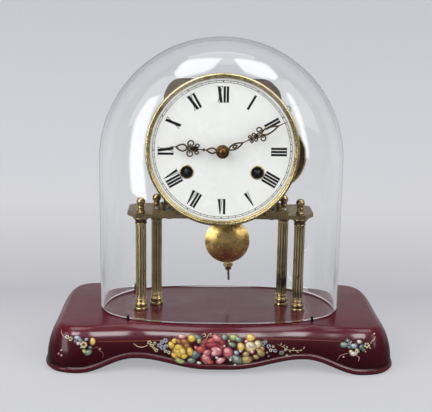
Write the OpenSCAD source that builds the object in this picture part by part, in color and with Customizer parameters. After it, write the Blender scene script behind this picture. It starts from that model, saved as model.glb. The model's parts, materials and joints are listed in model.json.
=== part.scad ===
// Pendulum clock under a glass dome, on a shaped base of lacquered wood.
// Millimetres. X to the right, Y to the back, Z up; the dial faces the front.
// Four fluted columns carry a top plate and the movement stands on that plate.

/* [Base] */
// Half of the overall width, over the lip
base_half_w = 129.4; // [127:0.2:133]
// Half of the overall depth, over the lip
base_half_d = 62.8; // [62:0.2:66]
// Height of the wooden base
base_h = 33; // [31:0.5:36]
// How far the front edge bends in between the middle and the corners
recess = 7.3; // [5:0.1:7.5]
// Height of the arches under the base
arch_h = 9; // [6:0.5:10]
// How far inside the lip the flat top begins
top_inset = 12.6; // [10.6:0.2:12.8]
// Fullness of the curved sides; 2 is a quarter ellipse
belly = 1.8; // [1.6:0.1:2]
// Radius of the counterbores under the columns
counter_r = 6; // [5.4:0.2:7]
// Depth of the counterbores
counter_d = 17; // [14:0.5:18]

/* [Dome] */
// Half of the width of the glass at its foot
dome_half_w = 92; // [90:0.5:92.5]
// Half of the depth of the glass at its foot
dome_half_d = 47.5; // [46.6:0.1:47.6]
// Height of the glass over the base
dome_h = 207; // [203:1:212]
// Thickness of the glass
glass_t = 3; // [2.4:0.1:3.2]
// Squareness of the plan of the dome; 2 is an ellipse
dome_power = 2.6; // [2.5:0.05:2.7]
// Distance of the locating pins from the middle
dome_pin_x = 68; // [62:1:72]
// Radius of the locating pins
dome_pin_r = 1.1; // [0.8:0.1:1.4]
// Height of the locating pins
dome_pin_h = 4.5; // [3:0.5:6]

/* [Columns] */
// Front columns, distance from the middle
front_x = 60.4; // [59:0.2:62]
// Front columns, distance before the middle
front_y = 6.8; // [6:0.2:7]
// Back columns, distance from the middle
back_x = 49.1; // [48.6:0.1:51]
// Back columns, distance behind the middle
back_y = 6.8; // [4:0.2:9]
// Length of the fluted shafts
shaft_len = 58.5; // [57:0.5:60]
// Radius of the fluted shafts
shaft_r = 4.1; // [3.8:0.1:4.4]
// Number of flutes round a shaft
flutes = 12; // [10:1:13]
// Radius of a flute
flute_r = 0.75; // [0.5:0.05:0.8]
// Height of a column foot
foot_h = 8; // [7:0.5:9]
// Radius of the disc of a column foot
foot_r = 5.3; // [5:0.1:5.6]
// Height of a capital
capital_h = 5.5; // [5:0.1:6.5]
// Radius of the top ring of a capital
capital_r = 6.1; // [5.8:0.1:6.4]
// Radius of the rods inside the columns
rod_r = 1.5; // [1.2:0.1:1.6]
// Clearance of a rod in wood, foot, shaft, capital and plate
rod_gap = 0.3; // [0.2:0.05:0.4]
// Clearance at a screwed thread
thread_gap = 0.05; // [0.02:0.01:0.08]
// Radius of the ball of a finial
ball_r = 3.3; // [3:0.1:3.4]
// Height of a finial
finial_h = 11.8; // [11:0.2:13]
// Width of a column nut across its flats
nut_af = 7; // [6:0.5:7.5]
// Height of a column nut
nut_h = 3; // [2:0.5:4]
// Thickness of a washer under a column nut
washer_t = 1; // [0.6:0.1:1.4]

/* [Top plate] */
// Half of the width of the top plate
top_half_w = 71; // [70:0.5:72]
// Distance of the front edge before the middle
top_front = 13; // [13:0.1:14]
// Distance of the back edge behind the middle
top_back = 26; // [24:0.5:28]
// Thickness of the top plate
top_t = 3; // [2.5:0.1:3.5]
// Half of the width of the notch for the pendulum
notch_half_w = 11; // [10:0.2:14]
// Thickness of the bracket feet
bracket_t = 3; // [2.5:0.1:3.5]
// Height of the upstand of a bracket over its foot
upstand_h = 4; // [3:0.5:7]

/* [Dial] */
// Outer radius of the bezel
bezel_r = 56; // [55.6:0.1:57]
// Radius of the opening of the bezel
bezel_in = 52.4; // [52:0.1:52.8]
// Depth of the bezel in front of the dial
bezel_d = 4; // [3.2:0.1:4.6]
// Depth of the collar behind the dial
collar_d = 6.2; // [4:0.2:8]
// Distance from the front plate to the back of the dial
dial_off = 13.2; // [13:0.1:14]
// Thickness of the dial
dial_t = 0.8; // [0.6:0.1:1]
// Radius of the centre hole of the dial
dial_hole = 3.6; // [3.3:0.1:4.2]
// Radius of a winding hole
wind_hole = 4.6; // [4.2:0.1:5]
// Radius of the flange of a winding grommet
grommet_r = 5.2; // [5.1:0.1:5.6]
// Radius of the posts behind the dial
post_r = 1.5; // [1.2:0.1:2]

/* [Hands] */
// Length of the hour hand
hour_len = 38; // [36:0.5:40]
// Length of the minute hand
minute_len = 51.3; // [49:0.1:51.8]
// Angle of the hour hand, clockwise from twelve
hour_angle = 275.3; // [0:0.1:360]
// Angle of the minute hand, clockwise from twelve
minute_angle = 63.6; // [0:0.1:360]
// Thickness of a hand
hand_t = 0.6; // [0.5:0.05:0.8]
// Width of the strokes of a hand
stroke = 0.8; // [0.7:0.05:0.9]
// Radius of the nut on the hands
hand_nut_r = 4.5; // [4:0.1:5]
// Radius of the tube that carries the minute hand
cannon_r = 1.9; // [1.8:0.05:2]
// Radius of the pipe that carries the hour hand
pipe_r = 3; // [2.8:0.05:3.1]

/* [Movement] */
// Height of the dial centre over the bottom of the movement plates
centre_up = 48.4; // [48:0.1:50]
// Height of the movement plates
plate_h = 97; // [96:0.5:99]
// Half of the width of the movement plates
plate_half_w = 43; // [42.6:0.1:44]
// Radius of the top corners of the movement plates
plate_corner = 12.5; // [8:0.5:14]
// Thickness of the movement plates
plate_t = 1.6; // [1.4:0.1:1.8]
// Distance between the movement plates
plate_gap = 24.8; // [24.8:0.05:25.4]
// Radius of the pillars between the plates
pillar_r = 2.5; // [2:0.1:2.8]
// Radius of the screwed ends of the pillars and of the bracket screws
screw_r = 1.2; // [1:0.1:1.3]
// Clearance of a running pivot
pivot_gap = 0.08; // [0.05:0.01:0.1]
// End play of an arbor between the plates
end_play = 0.2; // [0.15:0.05:0.3]
// Radius of the fine arbors
arbor_r = 0.7; // [0.6:0.05:0.7]
// Radius of the fine pivots
pivot_r = 0.5; // [0.4:0.05:0.6]
// Radius of the strong pivots
strong_r = 0.75; // [0.65:0.05:0.8]
// Radius of the centre arbor
centre_r = 1.2; // [1.1:0.05:1.25]
// Radius of the spring drums
drum_r = 14.8; // [14:0.1:14.9]
// Length of the spring drums
drum_len = 18; // [17:0.1:18.2]
// Radius of a winding arbor in its drum
wind_r = 3; // [2.8:0.1:3.2]
// Side of the square for the winding key
square_side = 3.5; // [3.2:0.1:3.6]
// Radius of a ratchet wheel
ratchet_r = 11; // [10:0.1:11.4]
// Clearance of the lifted click over the ratchet teeth
click_gap = 0.2; // [0.2:0.05:0.5]
// Radius of the escape wheel
escape_r = 10.5; // [10.2:0.05:10.55]
// Clearance of the pallets over the escape wheel at mid swing
pallet_gap = 1.35; // [1.3:0.05:1.8]
// Height of the pallet arbor over the escape arbor
anchor_up = 16.1; // [15.8:0.1:16.4]
// Radius of the fly blades
fly_r = 8; // [7:0.1:8.4]

/* [Strike] */
// Bell, distance of its middle from the middle of the clock
bell_x = 40; // [39.5:0.1:40.4]
// Bell, distance of its middle below the dial centre
bell_down = 11.4; // [11:0.2:14]
// Radius of the mouth of the bell
bell_r = 26.5; // [26:0.1:26.6]
// Distance of the mouth of the bell from the back plate
bell_off = 1.5; // [1.3:0.1:2]
// Radius of the rounded side of the bell
bell_round = 14; // [12:0.5:15]
// Thickness of the bell
bell_t = 1.2; // [1:0.1:1.5]
// Radius of the post of the bell
bell_post_r = 2.2; // [2:0.1:2.6]
// Gap between the resting hammer head and the bell
strike_gap = 0.4; // [0.35:0.05:0.8]
// Radius of the hammer head
head_r = 2.6; // [2.2:0.1:2.7]
// Length of the hammer head
head_len = 6.1; // [5:0.1:7]

/* [Pendulum] */
// Distance of the pendulum behind the back plate
pend_off = 7; // [6.8:0.1:7.4]
// Swing at which the clock is drawn, degrees to the right
swing = 3; // [0:0.5:3]
// Distance from the bending point to the middle of the bob
bob_down = 119.4; // [118:0.2:121]
// Radius of the bob
bob_r = 17.7; // [17:0.1:18]
// Half of the thickness of the bob
bob_half_t = 5.5; // [4.5:0.1:6]
// Thickness of the rim of the bob
bob_rim = 1.2; // [1:0.1:2]
// Radius of the pendulum rod
prod_r = 0.9; // [0.8:0.05:1]
// Distance from the bending point to the end of the rod
rod_down = 151.7; // [150:0.2:154]
// Radius of the rating nut
rating_r = 3.8; // [3.4:0.1:4.4]
// Height of the rating nut
rating_h = 5.4; // [5:0.1:6.5]
// Gap between the bob and the rating nut
rating_gap = 0.4; // [0.3:0.05:1]
// Length of the crutch
crutch_len = 32; // [28:0.5:36]
// Gap between the crutch fork and the rod
fork_gap = 0.2; // [0.1:0.05:0.4]

/* [Hidden] */
$fn = 48;

brass = [0.72, 0.58, 0.33];
steel = [0.55, 0.56, 0.58];

// heights and depths of the stack
shaft_z = base_h + foot_h;
capital_z = shaft_z + shaft_len;
top_z0 = capital_z + capital_h;
top_z = top_z0 + top_t;
plate_z = top_z + bracket_t;
centre_z = plate_z + centre_up;
plate_y = -13;
in_f = plate_y + plate_t;
in_b = in_f + plate_gap;
rear = in_b + plate_t;
dial_y = plate_y - dial_off;
dial_front = dial_y - dial_t;

// the columns, in the order front left, front right, back left, back right
spots = [[-front_x, -front_y], [front_x, -front_y], [-back_x, back_y], [back_x, back_y]];

function polar(r, a) = [r * cos(a), r * sin(a)];
function aim(a, b) = atan2(b[1] - a[1], b[0] - a[0]);
function flip(p) = [-p[0], p[1]];
// the second leg of a right triangle
function leg(d, x) = sqrt(d * d - x * x);
// toothed outline, four points a tooth
function teeth(n, m, add, ded, root_w, tip_w, phase) = [for (i = [0:n - 1])
    for (q = [[-root_w, -ded], [-tip_w, add], [tip_w, add], [root_w, -ded]])
    polar(m * n / 2 + q[1] * m, phase + i * 360 / n + q[0] * 180 / n)];

// arbor places, seen from the front, from the dial centre
m_great = 0.44;
m_inter = 0.393;
m_centre = 0.3;
m_third = 0.27;
m_pin = 0.33;
m_warn = 0.3;
p_c = [0, 0];
p_t = [-5.5, leg(87 * m_centre / 2, 5.5)];
p_e = [0, p_t[1] + leg(87 * m_third / 2, 5.5)];
p_a = [0, p_e[1] + anchor_up];
p_i = [-13.5, -leg(35 * m_inter, 13.5)];
p_b = [p_i[0] - 12.3, p_i[1] - leg(41 * m_great, 12.3)];
p_s2 = flip(p_i);
p_sb = flip(p_b);
p_s3 = p_s2 + polar(73 * m_pin / 2, 27.1);
p_s4 = p_s3 + polar(67 * m_warn / 2, 26.4);
p_h = [22, 20];
p_m = polar(12, 120);
p_l = [24, 30];
p_click = p_b + polar(ratchet_r + 4.5, -35);
eye = [47.6, 29.6];
pillars = [[-39, pillar_r - centre_up], [39, pillar_r - centre_up], [-33, 40.6], [33, 40.6]];
dial_feet = [[-20, 42], [20, 42], [-32, -34], [32, -34]];

// planes of the wheels, from the inner face of the front plate
y_warn = in_f + 0.5;
y_great = in_f + 2;
y_drum = y_great + 1.5;
y_escape = in_f + 6.9;
y_centre = in_f + 11.4;
y_third = in_f + 16.4;
y_inter = in_f + 22.1;
y_tail = y_inter + 1.3;

// drawing helpers
module slab(y0, t) translate([0, y0 + t, 0]) rotate([90, 0, 0]) linear_extrude(t) children();
module rod_y(r, y0, y1) translate([0, y1, 0]) rotate([90, 0, 0]) cylinder(r = r, h = y1 - y0);
module at(p) translate([p[0], 0, centre_z + p[1]]) children();
module turned_y() rotate([-90, 0, 0]) rotate_extrude() children();
module bar(a, b, w) {
    translate(a) circle(d = w);
    translate(b) circle(d = w);
    translate(a) rotate(aim(a, b)) translate([0, -w / 2]) square([norm(b - a), w]);
}
module loop(c, r, w) translate(c) difference() {
    circle(r = r);
    circle(r = r - w);
}
// pointed leaf along the second axis, from a to b
module leaf(a, b, half) {
    h = (b - a) / 2;
    big = (h * h + half * half) / (2 * half);
    translate([0, a + h]) intersection() {
        translate([big - half, 0]) circle(r = big, $fn = 96);
        translate([half - big, 0]) circle(r = big, $fn = 96);
    }
}
module open_leaf(a, b, half, w) difference() {
    leaf(a, b, half);
    leaf(a + 2.2 * w, b - 2.2 * w, half - w);
}
module wheel(n, m, phase, hub) difference() {
    polygon(teeth(n, m, 0.7, 1.15, 0.55, 0.2, phase));
    difference() {
        circle(r = m * n / 2 - 1.15 * m - 1.1);
        circle(r = hub);
        for (i = [0:3]) rotate(phase + i * 90) translate([0, -0.55]) square([m * n / 2, 1.1]);
    }
}
module pinion(n, m, phase) polygon(teeth(n, m, 0.55, 1.2, 0.5, 0.2, phase));
// phase of a pinion that stands at angle a from its wheel
function meet(a, n) = a + 180 + 180 / n;
module arbor(r, pivot) {
    rod_y(r, in_f + end_play, in_b - end_play);
    rod_y(pivot, plate_y, rear);
}

// base outline, closed cubic curve through mirrored guide points
half_guide = [[0, 0.2 - base_half_d], [20, 0.2 - base_half_d], [40, 4.3 - base_half_d],
    [58, recess - base_half_d], [74, recess - 2 - base_half_d], [90, -base_half_d],
    [106, -base_half_d - 1.8], [base_half_w - 8.4, 1.8 - base_half_d],
    [base_half_w + 0.2, 13.8 - base_half_d], [base_half_w + 0.6, -32],
    [base_half_w, -10], [base_half_w, 12], [base_half_w, 32],
    [base_half_w - 3.4, 50], [base_half_w - 16.4, base_half_d - 0.8],
    [97, base_half_d + 0.8], [78, base_half_d - 2.3], [55, base_half_d - 5.3],
    [28, base_half_d - 6.5], [0, base_half_d - 6.8]];
last = len(half_guide) - 1;
guide = concat(half_guide, [for (i = [last - 1:-1:1]) flip(half_guide[i])]);
gn = len(guide);
function blend(a, b, c, d, t) = ((1 - t) * (1 - t) * (1 - t) * a
    + (3 * t * t * t - 6 * t * t + 4) * b
    + (3 * t + 3 * t * t - 3 * t * t * t + 1) * c + t * t * t * d) / 6;
outline = [for (i = [0:gn - 1]) for (k = [0:2])
    blend(guide[(i + gn - 1) % gn], guide[i], guide[(i + 1) % gn], guide[(i + 2) % gn], k / 3)];
on = len(outline);
// outward direction at an outline point
outward = [for (i = [0:on - 1]) let (d = outline[(i + 1) % on] - outline[(i + on - 1) % on])
    [d[1], -d[0]] / norm(d)];
// underside of the base along its width
function under(x) = let (a = abs(x)) a < 8 ? 3
    : a < 63 ? 3 + (arch_h - 3) * (1 - cos(180 * (a - 8) / 55)) / 2
    : a < 104 ? arch_h * (1 + cos(180 * (a - 63) / 41)) / 2 : 0;
// rings of the foot and lip: inset and height over the underside
lip = [[2.2, 0.9], [0.9, 1.3], [0, 2.4], [0.1, 3.6], [0.7, 4.4], [1.5, 4.8]];
// the sides between lip and flat top: how far out and how high, both from 0 to 1
side_curve = [for (a = [9:9:90]) [pow(cos(a), 2 / belly), pow(sin(a), 2 / belly)]];
function ring(in, zs) = [for (i = [0:on - 1]) let (p = outline[i] - in[i] * outward[i])
    [p[0], p[1], zs[i]]];
function same(v) = [for (p = outline) v];
base_rings = concat(
    [ring(same(2.2), same(-1))],
    [for (q = lip) ring(same(q[0]), [for (p = outline) under(p[0]) + q[1]])],
    [for (c = side_curve) ring(same(top_inset - (top_inset - 1.2) * c[0]),
        [for (p = outline) (under(p[0]) + 4.8) * (1 - c[1]) + base_h * c[1]])]);
// side faces between rings of n points, first point number f
function sides(rings, n, f) = [for (k = [0:rings - 2]) for (i = [0:n - 1])
    let (a = f + k * n + i, b = f + k * n + (i + 1) % n)
    for (t = [[a, a + n, b + n], [a, b + n, b]]) t];
function flat_list(v) = [for (r = v) for (p = r) p];
arch_line = [for (x = [-104:4:104]) [x, under(x)]];
module wooden_base() color([0.24, 0.06, 0.1]) difference() {
    polyhedron(flat_list(base_rings), concat(sides(len(base_rings), on, 0),
        [[for (i = [0:on - 1]) i]],
        [[for (i = [on - 1:-1:0]) (len(base_rings) - 1) * on + i]]));
    slab(-90, 180) polygon(concat([[-150, -3], [-150, 0]], arch_line, [[150, 0], [150, -3]]));
    for (p = spots) translate([p[0], p[1], -4]) {
        cylinder(r = rod_r + rod_gap, h = base_h + 8);
        cylinder(r = counter_r, h = counter_d + 4);
    }
}

// dome, a shell of two skins
skin_n = 72;
rise = [0, 10, 20, 30, 40, 50, 60, 69, 77, 84];
dome_top = base_h + dome_h;
dome_spring = dome_top - dome_half_w;
function skin(a, b, w) = let (a1 = a - w, b1 = b - w, top = dome_top - w) concat(
    [for (t = [0:skin_n - 1]) dome_point(a1, b1, base_h, dome_power, t)],
    [for (g = rise) let (z = dome_spring + a1 * sin(g), lift = max(0, z - top + b1),
        e = dome_power - (dome_power - 2) * g / 90)
        for (t = [0:skin_n - 1]) dome_point(a1 * cos(g), leg(b1, lift), z, e, t)],
    [[0, 0, top]]);
function dome_point(a, b, z, e, t) = let (c = cos(t * 360 / skin_n), s = sin(t * 360 / skin_n))
    [a * sign(c) * pow(abs(c), 2 / e), b * sign(s) * pow(abs(s), 2 / e), z];
skin_rings = len(rise) + 1;
skin_pts = skin_n * skin_rings + 1;
function cap(f) = [for (i = [0:skin_n - 1]) let (k = f + skin_n * (skin_rings - 1))
    [k + i, f + skin_pts - 1, k + (i + 1) % skin_n]];
function turned(v) = [for (t = v) [t[2], t[1], t[0]]];
module glass_dome() color([0.85, 0.9, 0.92, 0.25])
    polyhedron(concat(skin(dome_half_w, dome_half_d, 0), skin(dome_half_w, dome_half_d, glass_t)),
        concat(sides(skin_rings, skin_n, 0), cap(0),
            turned(concat(sides(skin_rings, skin_n, skin_pts), cap(skin_pts))),
            [for (i = [0:skin_n - 1]) let (j = (i + 1) % skin_n)
                for (t = [[i, j, skin_pts + j], [i, skin_pts + j, skin_pts + i]]) t]));

// locating pins just outside the glass
pin_y = dome_half_d * pow(1 - pow(dome_pin_x / dome_half_w, dome_power), 1 / dome_power);
pin_n = [pow(dome_pin_x / dome_half_w, dome_power - 1) / dome_half_w,
    pow(pin_y / dome_half_d, dome_power - 1) / dome_half_d];
pin_at = [dome_pin_x, pin_y] + pin_n / norm(pin_n) * (dome_pin_r + 0.3);
module dome_pins() color(brass) for (x = [-1, 1]) for (y = [-1, 1])
    translate([x * pin_at[0], y * pin_at[1], base_h]) {
        cylinder(r = dome_pin_r, h = dome_pin_h - dome_pin_r);
        translate([0, 0, dome_pin_h - dome_pin_r]) sphere(r = dome_pin_r);
    }

// columns
bore_r = rod_r + rod_gap;
module shaft(i) color(brass) translate([spots[i][0], spots[i][1], shaft_z])
    linear_extrude(shaft_len) difference() {
        circle(r = shaft_r);
        for (k = [0:flutes - 1]) translate(polar(shaft_r + 0.2, k * 360 / flutes)) circle(r = flute_r, $fn = 24);
        circle(r = bore_r);
    }
module column_foot(i) color(brass) translate([spots[i][0], spots[i][1], base_h])
    rotate_extrude() difference() {
        union() {
            square([foot_r, 2]);
            square([foot_r - 0.9, foot_h]);
            translate([foot_r - 1.7, foot_h / 2 + 1]) circle(r = (foot_h - 2) / 2 - 0.6);
            translate([0, foot_h - 0.8]) square([foot_r - 0.6, 0.8]);
        }
        translate([-9, -1]) square([9 + bore_r, foot_h + 2]);
    }
module capital(i) color(brass) translate([spots[i][0], spots[i][1], capital_z])
    rotate_extrude() difference() {
        union() {
            square([shaft_r + 0.4, 1]);
            polygon([[0, 1], [shaft_r, 1], [shaft_r + 0.2, 2], [shaft_r + 0.8, 3],
                [capital_r - 0.3, capital_h - 1.5], [0, capital_h - 1.5]]);
            translate([0, capital_h - 1.5]) square([capital_r, 1.5]);
        }
        translate([-9, -1]) square([9 + bore_r, capital_h + 2]);
    }
module column_front_left() shaft(0);
module column_front_right() shaft(1);
module column_back_left() shaft(2);
module column_back_right() shaft(3);
module foot_front_left() column_foot(0);
module foot_front_right() column_foot(1);
module foot_back_left() column_foot(2);
module foot_back_right() column_foot(3);
module capital_front_left() capital(0);
module capital_front_right() capital(1);
module capital_back_left() capital(2);
module capital_back_right() capital(3);
blind = 5;
module finials() color(brass) for (p = spots) translate([p[0], p[1], top_z]) rotate_extrude()
    difference() {
        union() {
            square([ball_r + 0.1, 1]);
            polygon([[0, 1], [ball_r - 0.3, 1], [ball_r - 0.8, 1.8], [ball_r - 1, 3],
                [ball_r - 1, finial_h - 2 * ball_r + 0.6], [0, finial_h - 2 * ball_r + 0.6]]);
            intersection() {
                translate([0, finial_h - ball_r]) circle(r = ball_r);
                square([ball_r, finial_h]);
            }
        }
        translate([-9, -1]) square([9 + rod_r + thread_gap, blind + 1]);
    }
rod_low = counter_d - washer_t - nut_h - 1.5;
module column_rods() color(steel) for (p = spots) translate([p[0], p[1], rod_low])
    cylinder(r = rod_r, h = top_z + blind - rod_low);
module column_nuts() color(steel) for (p = spots) translate([p[0], p[1], counter_d]) difference() {
    union() {
        translate([0, 0, -washer_t]) cylinder(r = counter_r - 0.6, h = washer_t);
        translate([0, 0, -washer_t - nut_h]) rotate([0, 0, 30])
            cylinder(r = nut_af / sqrt(3), h = nut_h, $fn = 6);
    }
    translate([0, 0, -washer_t - nut_h - 1]) cylinder(r = rod_r + thread_gap, h = nut_h + washer_t + 2);
}

// top plate with the pendulum notch
screw_y = [-6, 7];
wide_screw = [plate_half_w + 5.2, -7];
module top_plate() color([0.6, 0.54, 0.5]) difference() {
    translate([0, 0, top_z0]) linear_extrude(top_t) difference() {
        polygon([[top_half_w - 7, -top_front], [top_half_w, -3],
            [top_half_w, top_back - 6], [top_half_w - 8, top_back], [8 - top_half_w, top_back],
            [-top_half_w, top_back - 6], [-top_half_w, -3], [7 - top_half_w, -top_front]]);
        translate([-notch_half_w, 14 + notch_half_w / 4]) square([2 * notch_half_w, top_back]);
        translate([notch_half_w / 4 - notch_half_w, 14]) square([1.5 * notch_half_w, 20]);
    }
    for (p = spots) translate([p[0], p[1], top_z0 - 1]) cylinder(r = bore_r, h = top_t + 2);
    for (s = [-1, 1]) {
        for (y = screw_y) translate([s * 39, y, top_z0 - 1]) cylinder(r = screw_r + thread_gap, h = top_t + 2);
        translate([s * wide_screw[0], wide_screw[1], top_z0 - 1]) cylinder(r = screw_r + thread_gap, h = top_t + 2);
    }
}
module bracket(s) color(brass) difference() {
    union() {
        translate([s * 39 - 5, plate_y, top_z]) cube([10, rear - plate_y, bracket_t]);
        translate([s * (plate_half_w + 0.5) - 7.5, plate_y, top_z]) cube([15, 13, bracket_t]);
        translate([s * (plate_half_w + 1.6) - 1, plate_y, top_z]) cube([2, 13, bracket_t + upstand_h]);
    }
    for (y = screw_y) translate([s * 39, y, top_z - 1]) cylinder(r = screw_r + thread_gap, h = bracket_t + 2);
    translate([s * wide_screw[0], wide_screw[1], top_z - 1]) cylinder(r = screw_r + thread_gap, h = bracket_t + 2);
}
module bracket_left() bracket(-1);
module bracket_right() bracket(1);
module bracket_screws() color(steel) for (s = [-1, 1]) {
    for (y = screw_y) translate([s * 39, y, top_z0]) {
        translate([0, 0, -1.6]) cylinder(r = 2 * screw_r, h = 1.6);
        translate([0, 0, -0.8]) cylinder(r = screw_r, h = top_t + bracket_t + pillar_r + 0.7);
    }
    translate([s * wide_screw[0], wide_screw[1], plate_z]) {
        cylinder(r = 2 * screw_r, h = 1.6);
        translate([0, 0, 0.8 - bracket_t - top_t]) cylinder(r = screw_r, h = bracket_t + top_t);
    }
}

// bezel and dial
seat_r = bezel_in + 1;
module bezel() color(brass) at(p_c) turned_y() difference() {
    union() {
        polygon([[bezel_in, dial_front], [bezel_in, dial_front - bezel_d + 1.4],
            [bezel_in + 1.1, dial_front - bezel_d + 0.2], [bezel_r - 1.6, dial_front - bezel_d],
            [bezel_r - 0.3, dial_front - bezel_d + 1], [bezel_r, dial_front - bezel_d + 2],
            [bezel_r - 0.4, dial_front + 0.4], [bezel_r - 1.5, dial_front + 1],
            [bezel_r - 1.5, dial_y + collar_d], [seat_r + 0.1, dial_y + collar_d],
            [seat_r + 0.1, dial_front]]);
        translate([bezel_r - 1.5, dial_front - bezel_d + 1.4]) circle(r = 1.4, $fn = 32);
    }
    translate([bezel_in + 1.5, dial_front - bezel_d - 0.1]) circle(r = 0.4, $fn = 20);
}
holes = [p_b, p_sb];
module dial_plate() color([0.96, 0.95, 0.92]) at(p_c) slab(dial_front, dial_t) difference() {
    circle(r = seat_r, $fn = 96);
    circle(r = dial_hole);
    for (p = holes) translate(p) circle(r = wind_hole);
}
module dial_posts() color(brass) for (p = dial_feet) at(p) rod_y(post_r, dial_y, plate_y);
module winding_grommets() color(brass) for (p = holes) at(p) turned_y() {
    translate([wind_hole - 0.5, dial_front - 0.4]) square([grommet_r - wind_hole + 0.5, 0.4]);
    translate([wind_hole - 0.5, dial_front - 0.4]) square([0.45, dial_t + 0.6]);
}

// hands, drawn pointing up: k the knot, s the scrolls, f the end of the leaf
hour_y = dial_front - 4.2;
minute_y = hour_y - 2.8;
module hand(l, a, k, s, f, w) difference() {
    union() {
        circle(r = w + 1.1);
        open_leaf(w, a, 2.1, stroke);
        bar([0, a - 1], [0, s], stroke);
        bar([-0.8, a + 2.2], [0.8, a + 2.2], stroke);
        for (m = [-1, 1]) {
            loop([m * 2.2, k - 2.6], 1.7, stroke);
            loop([m * 3.9, s - 0.4], 2.6, stroke);
            bar([0, k - 1.2], [m * 1.2, k - 1.6], stroke);
            bar([0, s + 1.6], [m * 2.4, s + 1], stroke);
            bar([0, k + 0.6], [m * 2, s - 1.6], stroke);
        }
        translate([0, (k + s) / 2]) circle(r = 1.3);
        open_leaf(s + 0.6, f, 2.5, stroke);
        polygon([[-stroke / 2, f - 2], [stroke / 2, f - 2], [0.14, l], [-0.14, l]]);
    }
    circle(r = w);
}
module minute_hand() color(brass) at(p_c) slab(minute_y, hand_t)
    rotate(-minute_angle) hand(minute_len, 15.7, 25.4, 30.2, 43.5, cannon_r);
module hour_hand() color(brass) at(p_c) slab(hour_y, hand_t)
    rotate(-hour_angle) hand(hour_len, 11.4, 19.2, 23.4, 33.2, pipe_r);
module hand_nut() color(brass) at(p_c) turned_y() difference() {
    union() {
        translate([0, minute_y - 1.1]) square([hand_nut_r - 0.5, 1.1]);
        translate([hand_nut_r - 0.6, minute_y - 0.6]) circle(r = 0.6, $fn = 20);
        intersection() {
            translate([0, minute_y + 0.2]) circle(r = hand_nut_r - 1.3);
            translate([0, minute_y - 4]) square([6, 4]);
        }
    }
    translate([-9, minute_y - 2.2]) square([9 + cannon_r, 5]);
}
module cannon_pinion() color(brass) at(p_c) difference() {
    union() {
        slab(plate_y - 3, 2.2) pinion(12, 0.5, meet(300, 12));
        rod_y(cannon_r, minute_y - 2.2, plate_y - 2);
    }
    rod_y(centre_r + pivot_gap, minute_y - 3, plate_y);
}
module minute_wheel() color(brass) at(p_m) difference() {
    union() {
        slab(plate_y - 2.4, 1.2) wheel(36, 0.5, 300, 2.8);
        slab(plate_y - 6.2, 4) pinion(10, 0.48, meet(120, 10));
    }
    rod_y(1 + pivot_gap, plate_y - 8, plate_y);
}
module hour_wheel() color(brass) at(p_c) difference() {
    union() {
        slab(plate_y - 5.4, 1.2) wheel(40, 0.48, 120, pipe_r + 0.8);
        rod_y(pipe_r, hour_y - 0.2, plate_y - 4.2);
    }
    rod_y(cannon_r + pivot_gap, hour_y - 1, plate_y);
}
module lifting_lever() color(steel) at(p_c) slab(plate_y - 2.4, 1.2) difference() {
    union() {
        bar(p_l, eye - [1.8, 0], 1.6);
        bar(p_l, [4, 17], 1.6);
        translate(p_l) circle(r = 2.4);
        loop(eye, 2.4, 0.9);
    }
    translate(p_l) circle(r = 1.2 + pivot_gap);
}

// movement plates
module plate_shape() difference() {
    union() {
        translate([-plate_half_w, -centre_up]) square([2 * plate_half_w, plate_h - plate_corner]);
        translate([plate_corner - plate_half_w, -centre_up])
            square([2 * (plate_half_w - plate_corner), plate_h]);
        for (s = [-1, 1]) translate([s * (plate_half_w - plate_corner), plate_h - plate_corner - centre_up])
            circle(r = plate_corner);
    }
    for (p = [p_t, p_e, p_s3, p_s4]) translate(p) circle(r = pivot_r + pivot_gap, $fn = 24);
    for (p = [p_i, p_s2]) translate(p) circle(r = strong_r + pivot_gap, $fn = 24);
    for (p = [p_b, p_sb]) translate(p) circle(r = 2.6 + pivot_gap);
    for (p = pillars) translate(p) circle(r = screw_r + thread_gap, $fn = 24);
}
module front_plate() color(brass) {
    at(p_c) slab(plate_y, plate_t) difference() {
        plate_shape();
        circle(r = centre_r + pivot_gap);
        for (p = [p_a, p_h]) translate(p) circle(r = pivot_r + pivot_gap, $fn = 24);
    }
    // studs of the minute wheel, the clicks and the lifting lever
    at(p_m) {
        rod_y(1, plate_y - 7.2, plate_y + 0.4);
        rod_y(1.7, plate_y - 7.2, plate_y - 6.4);
    }
    for (p = [p_click, flip(p_click), p_l]) at(p) rod_y(1.2, plate_y - 3, plate_y + 0.4);
}
module back_plate() color(brass) at(p_c) slab(in_b, plate_t) difference() {
    plate_shape();
    circle(r = strong_r + pivot_gap, $fn = 24);
    for (p = [p_a, p_h]) translate(p) circle(r = arbor_r + pivot_gap, $fn = 24);
}
module plate_pillars() color(brass) difference() {
    for (p = pillars) at(p) {
        rod_y(pillar_r, in_f, in_b);
        rod_y(screw_r, plate_y - 2.2, rear + 2.2);
    }
    for (s = [-1, 1]) for (y = screw_y) translate([s * 39, y, plate_z - 1])
        cylinder(r = screw_r + thread_gap, h = 1 + pillar_r);
}
module plate_nuts() color(steel) for (p = pillars) at(p) for (y = [plate_y - 1.8, rear]) difference() {
    slab(y, 1.8) rotate(30) circle(r = 2.9, $fn = 6);
    rod_y(screw_r + thread_gap, y - 1, y + 3);
}

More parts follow.
